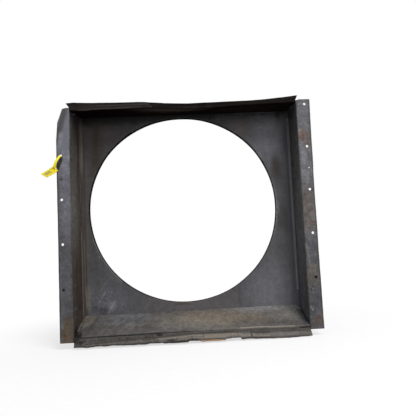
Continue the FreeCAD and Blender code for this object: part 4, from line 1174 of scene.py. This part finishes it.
def makeRail(name, side, look, node):
    wall, fold = box["wallX"] + 1.0, rails["fold"]
    path = bentPath([(wall, rails["back"]), (wall, 1.0), (box["flangeX"], 1.0)], 3.0, (34, 22), 5)
    x, y = column(path[:, 0]), column(path[:, 1])
    low = box["flangeFoot"] + np.clip(y - 4, 0, None) * (box["bottomRise"] / box["depth"])
    high = box["flangeTop"] + np.clip(y, 0, None) * (box["topRise"] / box["depth"])
    if side > 0:
        high = high + np.clip((x - 468) / 8, 0, 1) * rails["rightRise"]
    else:
        past = np.clip(x - (box["flangeX"] - fold["acrossCut"]), 0, None)
        high = high - past * fold["downCut"] / fold["acrossCut"]
    grid = gridOf(side * x, y, low + (high - low) * np.linspace(0, 1, 240))
    x, y, z = axesOf(grid)
    if side < 0:
        foldCorner(grid)
    else:
        x += follow(z, rails["rightEdge"]) * np.clip((x - 505.5) / 12, 0, 1)
    # the flange and its edge wander, and so does the wall's middle
    outer = np.clip((np.abs(x) - 475) / 40, 0, 1) * (y < 30)
    y += softNoise(grid, 120, 21 + side) * outer * 0.9
    edge = np.clip((np.abs(x) - 505) / 12, 0, 1)
    x += softNoise(grid, 30, 45 + side) * edge * 0.5
    middle = np.clip(y / 40, 0, 1) * np.clip((135 - y) / 40, 0, 1)
    x += softNoise(grid, 150, 25 + side) * middle * 2.0
    mesh = plateMesh(name, grid, box["thickness"])
    rows = rails["rows"] if side > 0 else rails["rows"][:-1]
    holes = [roundHole(side * rails["holeX"], z, rails["holeRadius"]) for z in rows]
    holes += [roundHole(side * rails["clipX"], z, rails["clipRadius"], 16) for z in rails["clipRows"]]
    addPiece(name, cutAway(mesh, holes, -12, 14), steelMaterial(name + "_paint", look), [node])


makeRail("left_rail_sheet", -1, leftRail, "left_side_rail")
makeRail("right_rail_sheet", 1, rightRail, "right_side_rail")
print("side rails ready")

# Dried mud in some of the holes; each plug is (x, z, radius, colour), and the holes themselves are open
holeMud = {
    "plugs": [(-500.0, -266.7, 5.2, (0.022, 0.015, 0.012)), (-500.0, -444.5, 5.2, (0.15, 0.07, 0.025)),
              (500.0, -266.7, 5.2, (0.014, 0.01, 0.008)), (500.0, -444.5, 5.2, (0.12, 0.1, 0.088)),
              (-502.5, 177.8, 2.6, (0.24, 0.24, 0.26)), (-502.5, -177.8, 2.6, (0.095, 0.095, 0.105)),
              (502.5, -177.8, 2.6, (0.2, 0.2, 0.21))],
    "front": 0.9, "back": 1.8, "hollow": 0.25, "rough": 0.18,
    "look": {"seed": 23.0, "paint": (0.03, 0.024, 0.02), "worn": (0.02, 0.015, 0.013), "contrast": 1.0,
             "gloss": 0.05, "smooth": 0.8, "rough": 0.95, "wander": 0.0},
}


def plugPart(x, z, radius, seed):
    # a thin lump that fills a hole, sunk a little in the middle and rough all over
    front, back, hollow = holeMud["front"], holeMud["back"], holeMud["hollow"]
    rings = []
    for share, y in ((0.1, front + hollow), (0.5, front + hollow * 0.8), (0.85, front + hollow * 0.2),
                     (1, front), (1, back), (0.5, back + 0.2), (0.1, back + 0.3)):
        ring = []
        for turn in turnsOf(24):
            c, s = math.cos(turn), math.sin(turn)
            rough = holeMud["rough"] * noise.noise(Vector((c * share * 3, s * share * 3, seed)))
            ring.append((x + radius * share * c, y + rough, z + radius * share * s))
        rings.append(ring)
    return loft(rings)


def makeHoleMud():
    plugs = holeMud["plugs"]
    colours = [spot((x, 1.3, z), (radius * 2, 8, radius * 2), colour, 1.0, 0.3)
               for x, z, radius, colour in plugs]
    mud = steelMaterial("dried_mud", {**holeMud["look"], "broad": colours})
    for side, name, slot in ((-1, "left_hole_mud", "left_rail_steel"),
                             (1, "right_hole_mud", "right_rail_steel")):
        parts = [plugPart(x, z, radius, k) for k, (x, z, radius, colour) in enumerate(plugs) if x * side > 0]
        addPiece(name, meshOfParts(name, parts), mud)


makeHoleMud()
print("hole mud ready")

# The welds
welds = {
    "leg": 4.2,
    "cornerRuns": [(25, 65), (96, 136)],     # from and to, along Y
    "ringTacks": [angle for angle in range(0, 360, 30) if angle != 90],
    "tackLength": 4.0,                       # degrees
    "plugRadius": 4.2, "plugHeight": 0.9,
    "sidePlugs": {"count": 7, "span": 865.5, "middle": 34.55, "y": 144.0},
    "rearPlugs": {"count": 8, "span": 927.0, "inset": 6.25, "y": 4.0},     # y is behind the panel's plane
    "seed": 27.0, "paint": (0.075, 0.07, 0.068), "worn": (0.1, 0.095, 0.09), "contrast": 1.0,
    "smooth": 0.35, "rough": 0.6, "gloss": 0.5, "bump": 0.8,
}
welds["marks"] = [
    spot((0, 170, 45), (700, 30, 700), "darkRust", 0.5, 0.5, 0.7),
    spot((0, 80, -400), (700, 120, 200), "rust", 0.6, 0.5, 0.7),
]

# the outline across a bead, as shares of its leg, and a plug's dome as (share of its radius, of its height)
beadRing = [(-0.3, -0.3), (1, -0.3), (1, 0), (0.82, 0.36), (0.58, 0.58), (0.36, 0.82), (0, 1), (-0.3, 1)]
domeRings = [(1, -0.4), (1, 0.05), (0.9, 0.45), (0.66, 0.8), (0.36, 0.97), (0.1, 1)]


def beadPart(points, legs, seed):
    # a rippled fillet bead along the points; legs are its two directions
    rings, count = [], len(points)
    for k, (point, (a, b)) in enumerate(zip(points, legs)):
        t = k / (count - 1)
        size = welds["leg"] * max(0.15, (1 - abs(2 * t - 1) ** 5)) ** 0.5
        size *= 1 + 0.07 * math.cos(k * math.pi / 2) + 0.08 * noise.noise(Vector((k * 0.3, seed, 2)))
        rings.append([point + a * (p * size if p > 0 else p) + b * (q * size if q > 0 else q)
                      for p, q in beadRing])
    return loft(rings)


def domePart(centre, axis, seed):
    side = axis.orthogonal().normalized()
    other = axis.cross(side)
    rings = []
    for share, height in domeRings:
        ring = []
        for k, turn in enumerate(turnsOf(20)):
            c, s = math.cos(turn), math.sin(turn)
            wide = welds["plugRadius"] * share * (1 + 0.1 * noise.noise(Vector((c, s, seed))))
            lift = welds["plugHeight"] * height * (1 + 0.15 * noise.noise(Vector((k * 0.7, share * 3, seed))))
            ring.append(centre + side * c * wide + other * s * wide + axis * lift)
        rings.append(ring)
    return loft(rings)


def addWelds(name, parts, node):
    addPiece(name, meshOfParts(name, parts), weldMetal, [node])


def makeRingWelds():
    parts = []
    for angle in welds["ringTacks"]:
        turns = [math.radians(angle + welds["tackLength"] * (k / 20 - 0.5)) for k in range(21)]
        spots = [ringPoint(t, fanRing["thickness"], fanRing["front"]) for t in turns]
        parts.append(beadPart([p for p, out in spots], [(out, Vector((0, 1, 0))) for p, out in spots], angle))
    addWelds("ring_weld_tacks", parts, "ring_welds")


def makeCornerWelds():
    parts = []
    for side in (-1, 1):
        for up, wallZ in ((1, topWallZ), (-1, bottomWallZ)):
            for start, end in welds["cornerRuns"]:
                points = [Vector((side * box["wallX"], y, wallZ(y) + up * box["thickness"]))
                          for y in np.linspace(start, end, 34)]
                legs = [(Vector((-side, 0, 0)), Vector((0, 0, up)))] * len(points)
                parts.append(beadPart(points, legs, start * side + up))
    addWelds("corner_weld_beads", parts, "corner_welds")


def plugRow(plugs):
    # even places along a row of plugs
    return [((k + 0.5) / plugs["count"] - 0.5) * plugs["span"] for k in range(plugs["count"])]


def makePlugWelds():
    sides, rears = welds["sidePlugs"], welds["rearPlugs"]
    parts = []
    for side in (-1, 1):
        for k, place in enumerate(plugRow(sides)):
            centre = Vector((side * (box["wallX"] - box["thickness"]), sides["y"], sides["middle"] + place))
            parts.append(domePart(centre, Vector((-side, 0, 0)), k + side * 10))
    addWelds("side_plug_welds", parts, "side_lap_welds")
    parts = []
    for up, wallZ in ((1, topWallZ), (-1, bottomWallZ)):
        z = wallZ(box["depth"] + box["thickness"]) - up * rears["inset"]
        for k, x in enumerate(plugRow(rears)):
            parts.append(domePart(Vector((x, box["depth"] + rears["y"], z)), Vector((0, 1, 0)), k + up * 20))
    addWelds("rear_plug_welds", parts, "rear_lap_welds")


weldMetal = steelMaterial("weld_metal_look", welds)
makeRingWelds()
makeCornerWelds()
makePlugWelds()
print("welds ready")

# The seal: strap, lock head and flag
sealTag = {
    "hole": (-500.0, 266.7),
    "hang": 27.5,                      # the strap's lean from straight down, in degrees
    # the strap's course: along its hanging direction, and Y
    "strap": [(57.8, -2.0), (57, -5.4), (54, -8.8), (48, -11.0), (41, -11.8), (33, -11.6), (21, -10.2),
              (10, -7.8), (3.4, -5.2), (0.5, -3.2), (0, -1), (0, 1.4), (0.5, 4), (3.4, 6.3), (12, 7.6),
              (24, 8.4), (36, 8.2), (45, 6.4), (50.6, 3.6)],
    "halfWidth": 4.3, "halfWidthLow": 5.4, "halfThick": 0.65, "sideBow": 2.6,
    # the lock head's and the neck's stations: along, Y of the middle, half width, half depth
    "head": [(49.7, 1, 4.4, 2.6), (50.1, 1, 5.1, 3.2), (50.9, 1, 5.5, 3.5), (53.6, 1, 5.5, 3.5),
             (53.9, 1, 5.2, 3.2), (54.6, 1, 5.2, 3.2), (54.9, 1, 5.5, 3.5), (57.4, 1, 5.5, 3.5),
             (57.7, 1, 5.2, 3.2), (58.4, 1, 5.2, 3.2), (58.7, 1, 5.5, 3.5), (59.8, 0.9, 5.4, 3.4),
             (60.5, 0.7, 5.0, 3.0), (60.8, 0.5, 4.3, 2.4)],
    "neck": [(59.9, -0.6, 4.2, 1.6), (61.2, -1.2, 4.5, 1.7), (62.6, -2.4, 4.5, 1.5), (64, -3.7, 4.5, 1.3),
             (65.4, -4.8, 4.5, 1.1), (66.6, -5.6, 4.4, 1.0), (67.2, -5.9, 4.0, 0.8)],
    "flagAt": (-530.2, -5.8, 208.6),
    "flagLength": (-33.6, -33.6, -33.1), "flagWidth": (29.1, -12.1, -17.4), "flagThick": 1.2,
    "along": (-11.5, 46.5), "across": (-17.3, 18.7), "corner": 4.0, "curl": 3.0,
    # each plastic: its yellow, the deeper yellow of its clouds, and its share of dirt
    # the strap's yellow is lighter than the flag's: painted light that keeps the strap bright where it faces away
    # from the lamps
    "strapPlasticPaintedLight": ((0.97, 0.9, 0.05), (0.95, 0.82, 0.03), 0.15),
    "flagPlastic": ((0.76, 0.63, 0.008), (0.62, 0.47, 0.008), 1.0),
    "grime": (0.36, 0.3, 0.06), "ink": (0.14, 0.13, 0.07),
    "bars": {"middle": 25.0, "halfLength": 14.5, "halfWidth": 9.5, "scale": 0.55},
}
hangTurn = math.radians(sealTag["hang"])
down = Vector((-math.sin(hangTurn), 0, -math.cos(hangTurn)))
across = Vector((math.cos(hangTurn), 0, -math.sin(hangTurn)))
forward = Vector((0, 1, 0))
tagHole = Vector((sealTag["hole"][0], 0, sealTag["hole"][1]))


def smoothLine(points, steps):
    # a curve through all the points
    points = [Vector((*p, 0)) for p in points]
    ends = [points[0] * 2 - points[1]] + points + [points[-1] * 2 - points[-2]]
    found = []
    for a, b, c, d in zip(ends, ends[1:], ends[2:], ends[3:]):
        for k in range(steps):
            t = k / steps
            found.append(0.5 * (2 * b + (c - a) * t + (2 * a - 5 * b + 4 * c - d) * t * t
                                + (3 * b - a - 3 * c + d) * t ** 3))
    return found + [points[-1]]


def strapPart():
    course = smoothLine(sealTag["strap"], 12)
    rings, run = [], 0.0
    for k, here in enumerate(course):
        ahead, behind = course[min(k + 1, len(course) - 1)], course[max(k - 1, 0)]
        run += (here - behind).length / 2
        heading = (ahead - behind).normalized()
        bow = -across * sealTag["sideBow"] * math.sin(math.pi * min(max(here.x / 50, 0), 1))
        centre = tagHole + down * here.x + forward * here.y + bow
        outward = down * -heading.y + forward * heading.x
        lower = min(max((here.x - 8) / 40, 0), 1)
        wide = sealTag["halfWidth"] + (sealTag["halfWidthLow"] - sealTag["halfWidth"]) * lower
        thick = sealTag["halfThick"] * (1 + 0.14 * math.sin(run * 3.2))
        ring = [(-wide, -thick + 0.25), (-wide + 0.3, -thick), (wide - 0.3, -thick), (wide, -thick + 0.25),
                (wide, thick - 0.25), (wide - 0.3, thick), (-wide + 0.3, thick), (-wide, thick - 0.25)]
        rings.append([centre + across * p + outward * q for p, q in ring])
    return loft(rings)


def squared(share):
    # turns a circle into a square with rounded corners
    return math.copysign(abs(share) ** 0.35, share)


def blockPart(stations):
    # a rounded block along the strap
    rings = []
    for reach, y, wide, deep in stations:
        rings.append([tagHole + down * reach + across * wide * squared(math.cos(turn))
                      + forward * (y + deep * squared(math.sin(turn))) for turn in turnsOf(28)])
    return loft(rings)


def flagMesh():
    length, width = Vector(sealTag["flagLength"]).normalized(), Vector(sealTag["flagWidth"]).normalized()
    facing = length.cross(width).normalized()
    (start, end), (low, high), corner = sealTag["along"], sealTag["across"], sealTag["corner"]
    quarter = np.linspace(0, math.pi / 2, 7)
    us = np.concatenate([start + corner * (1 - np.cos(quarter))[:-1],
                         np.linspace(start + corner, end - corner, 42),
                         end - corner * (1 - np.sin(quarter))[1:]])
    grid = np.zeros((len(us), 30, 3))
    for i, u in enumerate(us):
        toEnd = min(u - start, end - u)
        inset = corner - math.sqrt(max(corner ** 2 - (corner - min(toEnd, corner)) ** 2, 0))
        share = (u - start) / (end - start)
        for j, w in enumerate(np.linspace(low + inset, high - inset, 30)):
            bend = sealTag["curl"] * (share - 0.45) ** 2 * 2 - 0.9 * (w / 18) ** 2
            bend += 1.4 * (share - 0.3) * w / 18
            bend -= 1.1 * math.exp(-((u - 5) / 2.5) ** 2) + 0.3 * noise.noise(Vector((u * 0.1, w * 0.1, 3)))
            grid[i, j] = Vector(sealTag["flagAt"]) + length * u + width * w + facing * bend
    return plateMesh("flag", grid, sealTag["flagThick"])


def withinBar(tree, place, middle, half):
    # 1 up to half away from the middle, fading over the last millimetre
    away = maths(tree, "ABSOLUTE", minus(tree, place, middle))
    return remap(tree, away, half, half - 1.0)


def tagMaterial(name, yellow, deepYellow, dirt):
    material = bpy.data.materials.new(name)
    tree = newTree(material)
    place = placeOf(tree)
    cloud = remap(tree, grain(tree, place, 0.02, 4, 0.6, 2), 0.35, 0.7)
    colour = blendColour(tree, times(tree, cloud, 0.5), yellow, deepYellow)
    speck = remap(tree, grain(tree, place, 0.006, 5, 0.7, 5), 0.56, 0.7, 0, 0.5)
    colour = blendColour(tree, times(tree, speck, dirt), colour, sealTag["grime"])
    # plain worn bars where such a tag is printed
    bars = sealTag["bars"]
    away = vectorMaths(tree, "SUBTRACT", place, metres(sealTag["flagAt"]))
    u, w = [vectorMaths(tree, "DOT_PRODUCT", away, tuple(Vector(sealTag[key]).normalized() / mm))
            for key in ("flagLength", "flagWidth")]
    stripes = addNode(tree, "ShaderNodeTexNoise", {"W": u, "Scale": bars["scale"], "Detail": 1.0},
                      noise_dimensions="1D")
    stripes = remap(tree, stripes.outputs["Fac"], 0.45, 0.5)
    field = times(tree, withinBar(tree, u, bars["middle"], bars["halfLength"]),
                  withinBar(tree, w, 0.0, bars["halfWidth"]))
    rubbed = remap(tree, grain(tree, place, 0.009, 4, 0.7, 8), 0.3, 0.55, 0.45, 1)
    ink = times(tree, times(tree, stripes, field), times(tree, rubbed, 0.9))
    colour = blendColour(tree, ink, colour, sealTag["ink"])
    rough = remap(tree, cloud, 0, 1, 0.38, 0.55)
    joinShader(tree, colour, rough, grain(tree, place, 0.0015, 3, 0.6, 3), 0.25, 0.0003, 0.35)
    return material


def makeSealTag():
    strapPlasticPaintedLight = tagMaterial("seal_strap_plastic", *sealTag["strapPlasticPaintedLight"])
    flagPlastic = tagMaterial("seal_flag_plastic", *sealTag["flagPlastic"])
    strap = meshOfParts("seal_strap", [strapPart(), blockPart(sealTag["head"]), blockPart(sealTag["neck"])])
    addPiece("seal_strap", strap, strapPlasticPaintedLight, ["seal_tag"], "seal")
    addPiece("seal_flag", flagMesh(), flagPlastic, [], "seal")


makeSealTag()
print("seal tag ready")
